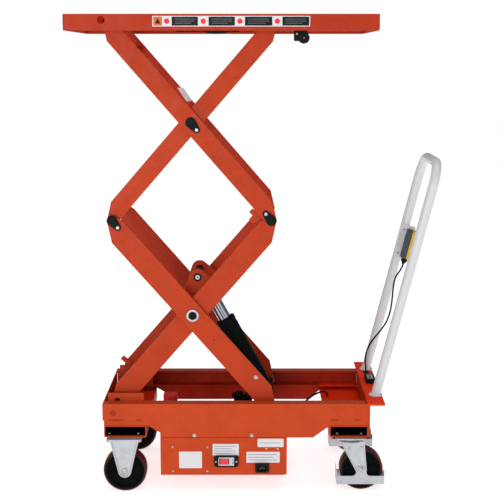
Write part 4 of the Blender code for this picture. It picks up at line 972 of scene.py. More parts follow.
def make_rails():
    for side, label in SIDES:
        make_channel(side, label)
        make_skirt(side, label)
        make_pivot_bracket(side, label)
        plug = rod(f"rail_plug_{label}", (-0.4959, 0, 0.2791), 0.011,
            *between(side, RAIL_Y + 0.0001, RAIL_Y + 0.0005))
        # The plug is painted with the darker copy of the orange: painted shade.
        dress(plug, SHADED_ORANGE, bevel=0.0003)
        ends = [(x, side * (RAIL_Y - 0.0016), 0.2527) for x in (RAIL_FRONT_X + 0.01, RAIL_REAR_X - 0.006)]
        dress(weld(f"rail_crease_{label}", ends, 0.0013, ripples=5), ORANGE, sharp=60)


def make_channel(side, label):
    outer, inner, web = side * RAIL_Y, side * RAIL_INNER, side * (RAIL_Y - 0.004)
    under_lip = RAIL_TOP - 0.004
    rail = prism(f"rail_{label}",
        [(inner, RAIL_TOP), (outer, RAIL_TOP), (outer, RAIL_BOTTOM), (inner, RAIL_BOTTOM), (inner, FLOOR_Z),
            (web, FLOOR_Z), (web, under_lip), (inner, under_lip)],
        RAIL_FRONT_X, RAIL_REAR_X, "X")
    cut(rail,
        *[
            prism("slot", rounded(x0, 0.2515, x1, 0.256, 0.0015, 3),
                *between(side, RAIL_Y + 0.01, RAIL_Y - 0.007))
            for x0, x1 in SLOTS_X])
    split(rail, DECK_X)
    dress(rail, ORANGE, f"side_rail_{label}", bevel=0.0014, segments=3)

    def inside(normal, centre):
        return normal.y * side < -0.5 or (abs(normal.z) > 0.5 and 0.254 < centre.z < 0.309)

    def beside_deck(normal, centre):
        return centre.x > DECK_X and centre.z < 0.262 and (normal.z > 0.5 or normal.y * side < -0.5)

    # The channel's inward faces take the darker copy of the orange: painted shade.
    line_faces(rail, SHADED_ORANGE, inside)
    # The channel's faces beside the rear deck take the lit copy of the orange: painted light.
    line_faces(rail, LIT_ORANGE, beside_deck)


def make_skirt(side, label):
    top, bottom = RAIL_BOTTOM - 0.0001, BEAM_TOP + GAP
    skirt = prism(f"rail_skirt_{label}",
        [(RAIL_FRONT_X + 0.004, top), (RAIL_FRONT_X + 0.004, bottom), (FRONT_BEAM_X[1] + 0.004, bottom),
            (POWER_X[0], 0.209), (POWER_X[0], SKIRT_LOW), (TABLE_X + 0.3075, SKIRT_LOW),
            (REAR_BEAM_X[0] - 0.003, 0.23), (REAR_BEAM_X[0] - 0.001, bottom), (RAIL_REAR_X, bottom),
            (RAIL_REAR_X, top)],
        *between(side, RAIL_Y - 0.0015, RAIL_Y - 0.0055))
    dress(skirt, ORANGE, bevel=0.0008)
    # The skirt's inward faces take the darker copy of the orange: painted shade.
    line_faces(skirt, SHADED_ORANGE, lambda normal, centre: normal.y * side < -0.5)
    # Near-black boxes of painted shade inside the rail's slots.
    y0, y1 = between(side, RAIL_Y - 0.0041, RAIL_Y - 0.0014)
    shades = [box("slot_shade", (x0 + 0.0004, y0, 0.2519), (x1 - 0.0004, y1, 0.2556)) for x0, x1 in SLOTS_X]
    dress(group(f"slot_shades_{label}", shades), SHADOW_STEEL)


def make_pivot_bracket(side, label):
    x0, x1, top = TABLE_X - 0.399, TABLE_X - 0.275, 0.338
    bracket = prism(f"pivot_bracket_{label}",
        [(x0, 0.2576), (x1, 0.2576), (x1, top - 0.002), (x1 - 0.002, top), (x0 + 0.002, top),
            (x0, top - 0.002)],
        *between(side, 0.17, 0.1779))
    cut(bracket,
        rod("bracket_bore", at(BASE_FRONT, side * 0.174), SHAFT_RADIUS + 0.0006, -0.01, 0.01, segments=40),
        rod("access_hole", at(ACCESS_HOLE, side * 0.178), 0.01, -0.004, 0.004, segments=40))
    # A near-black disc of painted shade inside the access hole.
    shade = rod(f"access_shade_{label}", at(ACCESS_HOLE), 0.0099, *between(side, 0.1741, 0.1749),
        segments=40)
    dress(shade, SHADOW_STEEL)
    dress(bracket, ORANGE, bevel=0.001)


def make_beams():
    deck_in_front = ((FRONT_BEAM_X[0] + 0.002, -0.17, 0.235), (FRONT_BEAM_X[1] - 0.001, 0.17, 0.2378))
    deck_behind = ((DECK_X, -0.211, 0.236), (REAR_BEAM_X[1] - 0.001, 0.211, 0.2388))
    for name, node_name, (x0, x1), bolts_x, deck in (
        ("front_beam", "caster_beam_front", FRONT_BEAM_X, (-0.5122, -0.4118), deck_in_front),
        ("rear_beam", "caster_beam_rear", REAR_BEAM_X, (0.2744, 0.3576), deck_behind),
    ):
        low, high = Vector((x0, 0, BEAM_LOW)), Vector((x1, 0, BEAM_TOP))
        tube = prism(name, inset(low, high, 0, 0.0045, 4), -RAIL_Y, RAIL_Y)
        cut(tube, prism("hollow", inset(low, high, 0.004, 0.002, 3), -0.23, 0.23))
        dress(tube, ORANGE, node_name, bevel=0.0005)
        # A near-black sheet of painted shade just inside each beam tube.
        painted_shade_liner = prism(name + "_inside", inset(low, high, 0.0042, 0.0018, 3), -0.2075, 0.2075)
        cut(painted_shade_liner, prism("liner_hollow", inset(low, high, 0.005, 0.0012, 3), -0.23, 0.23))
        dress(painted_shade_liner, SHADOW_STEEL, sharp=50)
        nuts = [
            hex_bolt(f"{name}_nut_{label}_{index}", (x, side * 0.196, BEAM_LOW + 0.005), (0, 0, 1), 0.0075,
                0.004, 0.005)
            for side, label in SIDES for index, x in enumerate(bolts_x)]
        fasteners(name + "_nuts", nuts)
        # The decks are painted with the lit copy of the orange: painted light on their tops.
        dress(box(name + "_deck", *deck), LIT_ORANGE, bevel=0.0008)
    wall = box("front_wall", (RAIL_FRONT_X, -0.1777, BEAM_TOP - 0.002),
        (RAIL_FRONT_X + 0.0039, 0.1777, RAIL_TOP))
    dress(wall, ORANGE, bevel=0.0008)


def make_end_plate():
    x0, x1 = TABLE_X + 0.495, TABLE_X + 0.549
    top = END_PLATE_TOP_Z
    outline = [(x0 - 0.004, -0.252), (x0 + 0.004, -0.26), (x1 - 0.004, -0.26), (x1, -0.256), (x1, 0.256),
        (x1 - 0.004, 0.26), (x0 - 0.004, 0.26)]
    plate = prism("end_plate_top", outline, top - 0.007, top, "Z")
    cut(plate, rod("grommet_hole", (GROMMET[0], GROMMET[1], top), 0.0078, -0.02, 0.02, (0, 0, 1)))
    # The end plate's top is painted with the lit copy of the orange: painted light.
    dress(plate, LIT_ORANGE, "handle_end_plate", bevel=0.0011, segments=3)
    wall_x = RAIL_REAR_X + GAP
    wall = box("end_plate_wall", (wall_x, -0.2165, BEAM_LOW), (wall_x + 0.005, 0.2165, top - 0.0072))
    dress(wall, ORANGE, bevel=0.001)
    bead = weld("end_plate_weld",
        [(wall_x + 0.0055, -0.214, top - 0.0085), (wall_x + 0.0055, 0.214, top - 0.0085)], 0.0026)
    dress(bead, ORANGE, sharp=60)


HANDLE_HALF = 0.16
HANDLE_CORNER = 0.075


def handle_path():
    """Points (across, along) of the handle's centre line, from one foot round to the other."""
    half, corner, top = HANDLE_HALF, HANDLE_CORNER, POST_LENGTH
    post = [(half, -0.002), (half, 0.1), (half, top - corner - 0.06), (half, top - corner)]
    path = [(-across, along) for across, along in post]
    for sign, first in ((-1, 180), (1, 90)):
        for step in range(1, 18):
            angle = math.radians(first - 90 * step / 18)
            path.append(
                (sign * (half - corner) + corner * math.cos(angle), top - corner + corner * math.sin(angle)))
        if sign < 0:
            path += [(corner - half, top), (half - corner, top)]
    return path + post[::-1]


def make_handle():
    foot = Vector((HANDLE_FOOT_X, 0, END_PLATE_TOP_Z + 0.004)) - POST * 0.004
    places = [foot + Vector((0, across, 0)) + POST * along for across, along in handle_path()]
    tube = sweep("handle_tube", places, HANDLE_RADIUS - 0.0001, 40)
    cut(tube, box("handle_floor", (0.0, -0.3, END_PLATE_TOP_Z - 0.1), (0.8, 0.3, END_PLATE_TOP_Z + GAP)))
    dress(tube, WHITE, "push_handle", sharp=50)
    flange = [(0.01, 0), (0.0235, 0), (0.024, 0.0008), (0.024, 0.0036), (0.0225, 0.005), (0.0185, 0.0056),
              (0.0172, 0.009), (0.01, 0.009)]
    for side, label in SIDES:
        centre = (HANDLE_FOOT_X, side * HANDLE_HALF, END_PLATE_TOP_Z + GAP)
        dress(lathe(f"handle_flange_{label}", flange, centre, (0, 0, 1), 64), WHITE)
    x0, x1, z0, z1 = -0.017, 0.036, -0.06, 0.064
    holder = prism("pendant_holder", rounded(x0, z0, x1, z1, 0.006), 0.0285, 0.033)
    join(holder, prism("holder_lip", rounded(x0, z0, x0 + 0.005, z1, 0.002), 0.0265, 0.0345))
    holder.data.transform(PENDANT_FRAME)
    dress(holder, WHITE, bevel=0.0008)
    outward = TURN_ONLY @ Vector((0, -1, 0))
    heads = [pan_screw("holder_screw", PENDANT_FRAME @ Vector((x, 0.0284, z)), outward, 0.0036)
             for x, z in ((-0.004, 0.046), (-0.004, -0.044), (0.026, -0.05))]
    screws("holder_screws", heads)


BUTTON_HEIGHTS = {"up": 0.021, "down": -0.019}


def make_pendant():
    _, wide, tall = PENDANT_HALF
    middle, face = PENDANT_AHEAD, PENDANT_AHEAD + PENDANT_HALF[0]
    outward = TURN_ONLY @ Vector((1, 0, 0))

    def shell(name, margin, radius, x0, x1):
        outline = rounded(margin - wide, margin - tall, wide - margin, tall - margin, radius)
        return prism(name, outline, x0, x1, "X")

    back = shell("pendant_back", 0, 0.006, middle - PENDANT_HALF[0], middle - 0.0006)
    front = shell("pendant_front", 0.0003, 0.006, middle + 0.0002, face)
    seam = shell("pendant_seam", 0.001, 0.005, middle - 0.0008, middle + 0.0004)
    cut(front,
        *[
            rod("well", (face, 0, height), 0.0105, -0.01, 0.01, (1, 0, 0), 40)
            for height in BUTTON_HEIGHTS.values()])
    for piece in (back, front, seam):
        piece.data.transform(PENDANT_FRAME)
    dress(back, SLATE, "pendant_body", bevel=0.0022, segments=3)
    dress(front, YELLOW, bevel=0.0022, segments=3)
    dress(seam, RUBBER)
    profile = [(0, -0.0055), (0.0097, -0.0055), (0.0097, 0.0026), (0.009, 0.0036), (0.0076, 0.004),
        (0.006, 0.0036), (0, 0.003)]
    for way, height in BUTTON_HEIGHTS.items():
        centre = PENDANT_FRAME @ Vector((face, 0, height))
        name, body = f"button_{way}_cap", f"{way}_button_cap"
        dress(lathe(name, profile, centre, outward, 48), BLACK_PLASTIC, f"{way}_button", body=body)
        tip = math.copysign(1, height)
        arrow = prism(name + "_arrow",
            [(u * tip, v * tip) for u, v in ((0.0034, -0.0022), (0, 0.0036), (-0.0034, -0.0022))], 0.0,
            0.0003, "X")
        arrow.data.transform(Matrix.Translation(centre + outward * 0.0031) @ TURN_ONLY.to_4x4())
        dress(arrow, LABEL, body=body)
    relief = lathe("strain_relief",
        [(0, 0), (0.008, 0), (0.0105, 0.0012), (0.0118, 0.0045), (0.012, 0.007), (0.0112, 0.0105),
            (0.009, 0.0138), (0.0066, 0.016), (0.006, 0.0185), (0.0052, 0.0215), (0.0048, 0.022), (0, 0.022)],
        relief_top, down, 48)
    dress(relief, RUBBER, "pendant_strain_relief")
    grommet = lathe("grommet", [
        (0, -0.006), (0.0072, -0.006), (0.0072, 0.0003), (0.011, 0.0003), (0.0112, 0.0015), (0.01, 0.004),
        (0.007, 0.0052), (0, 0.0052)], (*GROMMET, END_PLATE_TOP_Z), (0, 0, 1), 40)
    dress(grommet, RUBBER, "cable_grommet")


def make_gauge():
    low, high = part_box("battery_gauge")
    x0, y0, x1, y1, top = low.x, low.y, high.x, high.y, high.z
    body = prism("gauge_body", rounded(y0, low.z, y1, top, 0.003), x0, x1, "X")
    cut(body,
        box("gauge_recess", (x0 + 0.006, y0 + 0.012, top - 0.0015), (x1 - 0.006, y1 - 0.012, top + 0.01)))
    dress(body, BLACK_PLASTIC, "battery_gauge", bevel=0.001)
    window = box("gauge_window", (x0 + 0.0063, y0 + 0.0123, top - 0.0013),
        (x1 - 0.0063, y1 - 0.0123, top - 0.0005))
    dress(window, DISPLAY, bevel=0.0003)
    marks = [box("mark", (x0 + 0.011, y + 0.018, top - 0.0005), (x1 - 0.011, y + 0.023, top - 0.0003))
             for y in (y0 + i * 0.0085 for i in range(5))]
    dress(group("gauge_marks", marks), BLACK_PLASTIC)


# ---------------------------------------------------------------- power unit


def label_plate(name, x0, x1, z0, z1, rows, margin=0.006):
    """A blank label with plain bars in place of words."""
    y = COVER_FACE
    plate = prism(name, rounded(x0, z0, x1, z1, 0.003), y - 0.0005, y + 0.0001)
    dress(plate, LABEL)
    bars = []
    for row in range(rows):
        z = z1 - (z1 - z0) * (row + 1) / (rows + 1)
        right = x1 - margin - (0.018 if row % 2 else 0.004)
        bars.append(
            prism(f"{name}_bar_{row}", rounded(x0 + margin, z - 0.0009, right, z + 0.0009, 0.0006, 2),
                y - 0.0007, y - 0.0004))
    if bars:
        dress(group(name + "_bars", bars), LABEL_INK)


def make_power_unit():
    sheet = 0.0025
    x0, x1 = POWER_X[0] + 0.0005, POWER_X[1] - 0.0005
    z0, z1 = POWER_Z
    tray = box("tray", (x0, COVER_FACE + 0.0033, z0), (x1, 0.12, z1 - 0.001))
    cut(tray,
        box("tray_inside", (x0 + sheet, COVER_FACE + 0.0058, z0 + sheet),
            (x1 - sheet, 0.12 - sheet, z1 + 0.01)))
    # The tray behind the cover is painted with the darker copy of the orange: painted shade.
    dress(tray, SHADED_ORANGE, "power_tray", bevel=0.0008)
    cover = prism("cover",
        [(POWER_X[0], z1 - GAP), (POWER_X[0], z0), (POWER_X[1] - 0.009, z0), (POWER_X[1], z0 + 0.009),
            (POWER_X[1], z1 - GAP)],
        COVER_FACE, COVER_FACE + 0.003)
    dress(cover, ORANGE, "power_cover", bevel=0.0009, segments=3)
    heads = [
        pan_screw("cover_screw", (x, COVER_FACE, z), (0, -1, 0), 0.004)
        for x, z in ((-0.2927, 0.1581), (-0.1733, 0.1574), (-0.2927, 0.0711), (-0.1735, 0.0711),
            (0.0295, 0.1523), (0.0688, 0.1512))]
    screws("cover_screws", heads)
    bolts = [hex_bolt("skirt_bolt", (x, COVER_FACE + 0.0015, 0.1992), (0, -1, 0), 0.0095, 0.0042, 0.007)
             for x in (-0.2176, -0.0204)]
    fasteners("skirt_bolts", bolts)
    label_plate("label_square", -0.2712, -0.1924, 0.0815, 0.1415, 0)
    label_plate("label_wide", -0.1553, -0.0652, 0.1275, 0.1689, 4)
    label_plate("label_top", -0.0005, 0.0887, 0.158, 0.188, 1)
    label_plate("label_table", -0.0387, 0.0759, 0.1015, 0.1407, 3)
    make_switch()
    make_socket()


def make_switch():
    low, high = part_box("switch_bezel")
    rocker_low, rocker_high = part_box("power_rocker")

    def opening(margin_x, margin_z, y0, y1):
        return box("opening", (rocker_low.x - margin_x, y0, rocker_low.z - margin_z),
            (rocker_high.x + margin_x, y1, rocker_high.z + margin_z))

    bezel = prism("bezel", inset(low, high, 0, 0.0095, 8), low.y, high.y)
    recess = prism("bezel_recess", inset(low, high, (0.0145, 0.0045), 0.003), low.y - 0.002, low.y + 0.0016)
    cut(bezel, recess, opening(0.0025, 0.0012, low.y - 0.01, COVER_FACE - 0.0025))
    dress(bezel, BLACK_PLASTIC, "switch_bezel", bevel=0.0012, segments=3)
    plate = prism("bezel_plate", inset(low, high, (0.015, 0.005), 0.0025), low.y + 0.0006, low.y + 0.0014)
    cut(plate, opening(0.0022, 0.001, low.y - 0.01, low.y + 0.01))
    dress(plate, ZINC)
    rocker = bpy.data.objects.new("rocker_cap", NODES["power_rocker"].data.copy())
    bpy.context.scene.collection.objects.link(rocker)
    dress(rocker, RED, "power_rocker", body="rocker", bevel=0.0012, segments=3)
    middle = (low.z + high.z) / 2
    heads = [
        pan_screw("bezel_screw", (x, low.y, middle), (0, -1, 0), 0.0034)
        for x in (low.x + 0.0062, high.x - 0.0062)]
    screws("bezel_screws", heads)
    dots = [rod("dot", (high.x - 0.019, low.y + 0.0008, z), 0.002, -0.0007, 0.0002, segments=20)
            for z in (low.z + 0.015, high.z - 0.015)]
    dress(group("bezel_dots", dots), BLACK_PLASTIC)


def make_socket():
    low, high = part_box("charging_socket")
    x, z = (low.x + high.x) / 2, (low.z + high.z) / 2
    socket = prism("socket", inset(low, high, 0, 0.003), low.y, high.y)
    cut(socket,
        box("inlet", (x - 0.015, low.y - 0.01, z - 0.0095), (x + 0.015, COVER_FACE - 0.0025, z + 0.0095)))
    dress(socket, BLACK_PLASTIC, "charging_socket", bevel=0.001)
    pins = [
        box("pin", (x + u - 0.001, COVER_FACE - 0.0085, z + v - 0.0022),
            (x + u + 0.001, COVER_FACE - 0.0024, z + v + 0.0022))
        for u, v in ((-0.007, -0.001), (0.0, 0.002), (0.007, -0.001))]
    dress(group("inlet_pins", pins), BRASS)


UP = (0, 0, 1)
BATTERY_TOP = 0.188
BATTERY_LEAD = ((-0.225, 0.07, 0.215), (-0.245, 0.062, 0.218), (-0.2605, 0.052, 0.205),
    (-0.263, 0.04, 0.182), (-0.258, 0.02, 0.16))
CHARGE_LEAD = ((0.204, 0.06, 0.15), (0.24, 0.075, 0.165), (0.285, 0.095, 0.208), (0.32, 0.1, 0.238),
               (0.35, 0.1, 0.254), (0.372, 0.1, 0.256), (0.38, 0.1, 0.239))
VALVE_RODS = ((0.055, 0.056, 0.18, 0.011, 0.0, 0.092, UP, 32, 0.002),
    (0.016, 0.045, 0.18, 0.01, 0.0, 0.042, UP, 6, 0.001),
    (0.036, 0.066, 0.18, 0.008, 0.0, 0.036, UP, 32, 0.001),
    (0.065, 0.062, 0.246, 0.0125, -0.032, 0.034, (1, 0, 0), 32, 0.001),
    (0.05, 0.06, 0.18, 0.0165, 0.03, 0.088, UP, 40, 0.002),
    (0.084, 0.062, 0.18, 0.012, 0.03, 0.084, UP, 40, 0.002),
    (0.055, 0.056, 0.258, 0.009, -0.03, 0.012, (1, 0, 0), 32, 0.001),)


def make_lead(name, offsets, spacing):
    route, _ = smooth_route([Vector((TABLE_X + x, y, z)) for x, y, z in offsets], spacing)
    dress(sweep(name, route, 0.0035, 16), RUBBER)


def make_battery():
    """The battery with its lid, terminals and lead."""
    low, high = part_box("battery")
    top = BATTERY_TOP
    case = prism("battery_case", rounded(low.x, low.y, high.x, high.y, 0.006), low.z, top - 0.018, "Z")
    dress(case, BLACK_PLASTIC, "battery", bevel=0.0015)
    outline = rounded(low.x + 0.001, low.y + 0.001, high.x - 0.001, high.y - 0.001, 0.006)
    dress(prism("battery_lid", outline, top - 0.0172, top, "Z"), BLACK_PLASTIC, bevel=0.0015)
    posts = [
        lathe("post", [(0, 0), (0.009, 0), (0.0085, 0.013), (0, 0.013)], (TABLE_X + x, 0.075, top), UP, 32)
        for x in (-0.18, -0.06)]
    dress(group("battery_posts", posts), BRIGHT_ZINC)
    dress(rod("terminal_post", (-0.313, 0.0, top), 0.0105, -0.001, 0.068, UP, 32), BLACK_PLASTIC)
    cap = prism("terminal_cover", rounded(-0.339, -0.02, -0.288, 0.02, 0.01), 0.256, 0.2825, "Z")
    dress(cap, RED_CAP, bevel=0.003, segments=3)
    make_lead("battery_lead", BATTERY_LEAD, 0.005)


def make_pump():
    """The pump unit's tank, motor, valve block and fittings, and the charging lead."""
    tank = prism("tank", rounded(TABLE_X + 0.07, -0.165, TABLE_X + 0.205, 0.085, 0.01), 0.074, 0.165, "Z")
    dress(tank, BLACK_STEEL, "hydraulic_unit", bevel=0.003, segments=3)
    motor = lathe("pump_motor_body",
        [(0, -0.15), (0.034, -0.15), (0.038, -0.146), (0.04, -0.14), (0.04, 0.018), (0.036, 0.026),
            (0.034, 0.03), (0, 0.03)],
        (TABLE_X + 0.022, 0, 0.115), (0, 1, 0), 64)
    dress(motor, BLACK_STEEL)
    block = box("valve_body", (TABLE_X, 0.02, 0.06), (TABLE_X + 0.08, 0.08, 0.185))
    dress(block, BLACK_STEEL, bevel=0.002)
    parts = [rod("fitting", (TABLE_X + x, y, z), *rest) for x, y, z, *rest in VALVE_RODS]
    dress(group("valve_fittings", parts), BLACK_STEEL, bevel=0.0006, sharp=50)
    make_lead("charge_lead", CHARGE_LEAD, 0.006)


# ---------------------------------------------------------------- casters


def make_wheel(end, side, label, x, y):
    half, r, rim = 0.024, 0.075, 0.067
    name = f"wheel_{end}_{label}"
    centre = (x, side * y, r)
    body = f"{end}_wheel_{label}"
    core = lathe(name + "_core",
        mirrored(
            [(0.0086, -half + 0.0005), (0.019, -half + 0.0005), (0.0205, -half + 0.0015),
                (0.0225, -half + 0.0065), (0.027, -half + 0.008), (rim - 0.012, -half + 0.008),
                (rim - 0.009, -half + 0.0065), (rim - 0.0075, -half + 0.0028), (rim - 0.005, -half + 0.002),
                (rim - GAP, -half + 0.002)]),
        centre, (0, 1, 0), 96)
    dress(core, WHEEL_BLACK, f"wheel_core_{end}_{label}", body=body)
    ribs = []
    for face in (-1, 1):
        for step in range(6):
            rib = box("rib", (0.0215, -0.0022, 0), (rim - 0.0085, 0.0022, 0.0035))
            rib.data.transform(Matrix.Translation((0, 0, half - 0.0082)))
            turned = Matrix.Rotation(math.radians(60 * step + 15), 4, "Z")
            rib.data.transform(Matrix.Translation(Vector(centre)) @ frame_for((0, face, 0)) @ turned)
            ribs.append(rib)
    dress(group(name + "_ribs", ribs), WHEEL_BLACK, body=body, bevel=0.001)
    edge = [(rim, -half + 0.001), (rim + 0.0012, -half), (r - 0.0048, -half), (r - 0.0026, -half + 0.0012),
            (r - 0.001, -half + 0.004), (r - 0.0002, -half + 0.009)]
    tread = lathe(name + "_tread", edge + [(r, 0)] + mirrored(edge)[len(edge):], centre, (0, 1, 0), 128)
    dress(tread, MAROON, f"wheel_tread_{end}_{label}", body=body)
    profile = [(0.0088, half - 0.004), (0.0165, half - 0.004), (0.0165, half + 0.0002),
        (0.015, half + 0.0006), (0.0088, half + 0.0006)]
    bearings = [lathe("bearing", profile, centre, (0, face, 0), 48) for face in (-1, 1)]
    dress(group(name + "_bearings", bearings), ZINC, body=body)


def offset_outline(points, distance):
    """Move a convex outline's edges inwards."""
    count = len(points)
    lines = []
    for i in range(count):
        a, b = Vector(points[i]), Vector(points[(i + 1) % count])
        along = (b - a).normalized()
        lines.append((a + Vector((-along.y, along.x)) * distance, along))
    moved = []
    for i in range(count):
        (p, d), (q, e) = lines[i - 1], lines[i]
        cross = d.x * e.y - d.y * e.x
        if abs(cross) < 1e-6:
            moved.append(tuple(q))
        else:
            t = ((q - p).x * e.y - (q - p).y * e.x) / cross
            moved.append(tuple(p + d * t))
    return moved


def cheek(name, outline, y_inner, y_outer, rim, lip):
    """A pressed fork side: a flat sheet with a rolled lip round its edge."""
    sign = 1 if y_outer > y_inner else -1
    plate = prism(name, outline, *sorted((y_inner, y_outer + sign * lip)))
    tray = prism("tray_cut", offset_outline(outline, rim), *sorted((y_outer, y_outer + sign * (lip + 0.01))))
    return cut(plate, tray)


PLATE_TOP = 0.1927
CHEEK_INNER = 0.0275
WHEEL_Z = 0.075


def caster_plate(name, node_name, x, y, half, bolt_at, washer, bolts_name):
    """A caster's top plate with its four bolts."""
    outline = rounded(x - half[0], y - half[1], x + half[0], y + half[1], 0.008)
    dress(prism(name, outline, PLATE_TOP - 0.005, PLATE_TOP, "Z"), ZINC, node_name, bevel=0.001)
    under = PLATE_TOP - 0.0052
    heads = [
        hex_bolt("plate_bolt", (x + i * bolt_at[0], y + j * bolt_at[1], under), (0, 0, -1), 0.01, 0.005,
            washer)
        for i in (-1, 1) for j in (-1, 1)]
    fasteners(bolts_name, heads)


def make_fixed_caster(side, label):
    x, y = TABLE_X - 0.34, side * 0.2
    caster_plate(f"fixed_plate_{label}", f"fixed_fork_{label}", x, y, (0.06, 0.0425), (0.0545, 0.034), 0.007,
                 f"fixed_plate_bolts_{label}")
    corners = [
        (x + sign * reach, PLATE_TOP - drop) for reach, drop in ((0.05, 0.004), (0.046, 0.022))
        for sign in (-1, 1)]
    outline = convex_outline(corners + circle_points((x, WHEEL_Z), 0.0225, 64))
    for sign in (-1, 1):
        face = cheek(f"fixed_cheek_{label}_{sign}", outline, y + sign * CHEEK_INNER,
            y + sign * (CHEEK_INNER + 0.003), 0.0055, 0.003)
        dress(face, ZINC, bevel=0.0012, segments=3)
    profile = [(0, 0.03), (0.0115, 0.03), (0.0112, 0.0318), (0.0095, 0.0332), (0.0065, 0.0336),
        (0.006, 0.0328), (0, 0.0325)]
    ends = [lathe("rivet", profile, (x, y, WHEEL_Z), (0, sign, 0), 48) for sign in (-1, 1)]
    axle = rod("axle", (x, y, WHEEL_Z), 0.0079, -0.031, 0.031)
    dress(group(f"fixed_axle_{label}", [*ends, axle]), BRIGHT_ZINC)
    make_wheel("front", side, label, x, 0.2)


SWIVEL_X = TABLE_X + 0.438
TRAIL = 0.038
FORK_TOP = PLATE_TOP - 0.0138
GUARD_Z = (0.0235, 0.0535)


def guard_outline(wheel_x):
    """The foot guard's side: a low bar that sweeps up to a boss round the axle."""
    low, high = GUARD_Z
    bend = 0.014

    def sweep_up(sign, first):
        angles = [math.radians(first - 90 * step / 8) for step in range(9)]
        return [
            (wheel_x + sign * 0.032 + bend * math.cos(t), high + bend + bend * math.sin(t)) for t in angles]

    boss = [(0.017, 0.074), (0.012, 0.086), (0, 0.0905), (-0.012, 0.086), (-0.017, 0.074)]
    x0, x1 = wheel_x - 0.085, wheel_x + 0.08
    return ([(x0, low), (x1, low), (x1, high)] + sweep_up(1, 270) + [(wheel_x + u, z) for u, z in boss]
            + sweep_up(-1, 0) + [(x0, high)])


def make_swivel_caster(side, label):
    axis_x, wheel_x, y = SWIVEL_X, SWIVEL_X + TRAIL, side * 0.186
    body = f"swivel_{label}"
    caster_plate(f"swivel_top_{label}", f"swivel_plate_{label}", axis_x, y, (0.052, 0.0475),
        (0.0462, 0.0415), 0.0052, f"swivel_plate_bolts_{label}")
    race = lathe(f"swivel_race_{label}",
        [(0, 0.0), (0.0335, 0.0), (0.0375, 0.0012), (0.0405, 0.004), (0.041, 0.0062), (0.0392, 0.0084),
            (0, 0.0084)],
        (axis_x, y, PLATE_TOP - 0.0135), (0, 0, 1), 72)
    dress(race, BRIGHT_ZINC)
    crown = lathe(f"fork_crown_{label}",
        [(0, -0.006), (0.0395, -0.006), (0.044, -0.0046), (0.045, -0.0028), (0.044, -0.0008), (0.04, 0),
            (0, 0)],
        (axis_x, y, FORK_TOP), (0, 0, 1), 72)
    dress(crown, ZINC, f"swivel_fork_{label}", body=body)
    wide = CHEEK_INNER + 0.004
    bridge = box(f"fork_bridge_{label}", (axis_x - 0.033, y - wide, FORK_TOP - 0.006),
        (axis_x + 0.0475, y + wide, FORK_TOP - 0.0012))
    dress(bridge, ZINC, body=body, bevel=0.0015, segments=3)
    corners = [(axis_x - 0.034, FORK_TOP - 0.0015), (axis_x + 0.0475, FORK_TOP - 0.0015),
        (axis_x - 0.031, FORK_TOP - 0.012)]
    outline = convex_outline(corners + circle_points((wheel_x, WHEEL_Z), 0.019, 64))
    rivet = [(0, 0), (0.0046, 0), (0.0042, 0.0018), (0.0025, 0.0026), (0, 0.0028)]
    for sign in (-1, 1):
        outside = y + sign * (CHEEK_INNER + 0.0028)
        face = cheek(f"fork_cheek_{label}_{sign}", outline, y + sign * CHEEK_INNER, outside, 0.0045, 0.0018)
        dress(face, ZINC, body=body, bevel=0.001, segments=3)
        guard = prism(f"foot_guard_{label}_{sign}", guard_outline(wheel_x),
            *sorted((outside, outside + sign * 0.0026)))
        dress(guard, ZINC, body=body, bevel=0.0007)
        rivets = [lathe("rivet", rivet, (wheel_x - back, outside, z), (0, sign, 0), 24)
                  for back, z in ((0.042, 0.1515), (0.002, 0.156))]
        dress(group(f"fork_rivets_{label}_{sign}", rivets), BRIGHT_ZINC, body=body)
    reach = CHEEK_INNER + 0.0052
    half = [(reach, 0.0235), (reach, 0.0735), (reach - 0.012, 0.0735), (reach - 0.02, 0.056)]
    shape = [(y - half[0][0], half[0][1])] + [(y + u, z) for u, z in half] + [
        (y - u, z) for u, z in half[:0:-1]]
    for index, end_x in enumerate((wheel_x - 0.085, wheel_x + 0.078)):
        dress(
            prism(f"guard_end_{label}_{index}", shape, end_x, end_x + 0.002, "X"), ZINC, body=body,
            bevel=0.0006)
    reach = CHEEK_INNER + 0.0056
    nut = [(0, reach), (0.0105, reach), (0.0105, reach + 0.004), (0.0092, reach + 0.0048),
        (0, reach + 0.0048)]
    nuts = [rod("axle", (wheel_x, y, WHEEL_Z), 0.0079, -reach, reach)]
    nuts += [lathe("nut", nut, (wheel_x, y, WHEEL_Z), (0, sign, 0), 6) for sign in (-1, 1)]
    dress(group(f"swivel_axle_{label}", nuts), BRIGHT_ZINC, f"caster_axle_{label}", body=body, bevel=0.0004,
        sharp=50)
    make_wheel("rear", side, label, wheel_x, 0.186)


# ---------------------------------------------------------------- studio


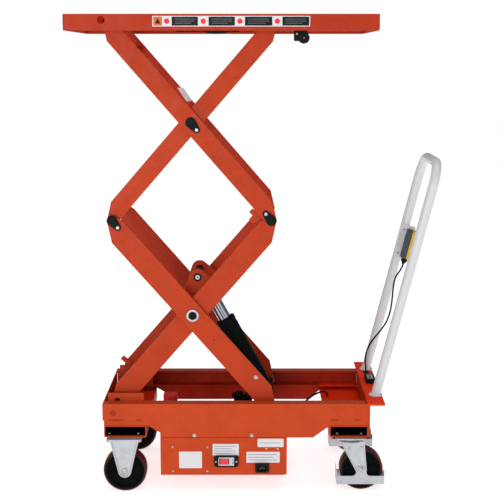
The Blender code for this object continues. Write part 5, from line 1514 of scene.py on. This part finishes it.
LAMPS = (("key", (-1.2, -4.4, 1.3), 1.8, 64), ("fill", (3.2, -2.8, 1.2), 2.4, 15),
    ("top", (0.1, -0.4, 4.4), 2.4, 46))
LAMP_TARGET = Vector((0, 0, 0.8))
CAMERA_BRIGHTNESS, SOFT_LIGHT, GLOSS_CHANGE = 1.0, 0.36, -0.14


def make_studio():
    """A pale floor without an edge, a white surround that lights softly, and three broad lamps."""
    floor = box("floor", (-40, -40, -0.02), (40, 40, 0.0))
    floor_paint = bpy.data.materials.new("floor_paint")
    floor_paint.use_nodes = True
    shader = floor_paint.node_tree.nodes["Principled BSDF"]
    for key, value in (("Base Color", (0.93, 0.93, 0.93, 1)), ("Roughness", 0.9),
            ("Specular IOR Level", 0.0), ("Emission Color", (1.0, 1.0, 1.0, 1)), ("Emission Strength", 0.67)):
        shader.inputs[key].default_value = value
    floor.data.materials.append(floor_paint)
    world = bpy.data.worlds.new("studio")
    world.use_nodes = True
    tree = world.node_tree
    background = tree.nodes["Background"]
    background.inputs["Color"].default_value = (1.0, 1.0, 1.0, 1)
    rays = tree.nodes.new("ShaderNodeLightPath").outputs
    total = tree.nodes.new("ShaderNodeMath")
    tree.links.new(
        ramp(tree, rays["Is Camera Ray"], 0.0, 1.0, SOFT_LIGHT, CAMERA_BRIGHTNESS), total.inputs[0])
    tree.links.new(ramp(tree, rays["Is Glossy Ray"], 0.0, 1.0, 0.0, GLOSS_CHANGE), total.inputs[1])
    tree.links.new(total.outputs[0], background.inputs["Strength"])
    scene = bpy.context.scene
    scene.world = world
    scene.view_settings.view_transform = "Standard"
    for name, place, size, power in LAMPS:
        lamp_data = bpy.data.lights.new(name, "AREA")
        lamp_data.energy = power
        lamp_data.size = size
        lamp = bpy.data.objects.new(name, lamp_data)
        lamp.location = place
        lamp.rotation_euler = (LAMP_TARGET - Vector(place)).to_track_quat("-Z", "Y").to_euler()
        scene.collection.objects.link(lamp)


make_table()
make_decal()
make_limit_switch()
make_linkage()
make_shafts()
make_small_marks()
make_cylinder()
make_rails()
make_beams()
make_end_plate()
make_handle()
make_pendant()
make_gauge()
make_power_unit()
make_battery()
make_pump()
for side, label in SIDES:
    make_fixed_caster(side, label)
    make_swivel_caster(side, label)
make_studio()
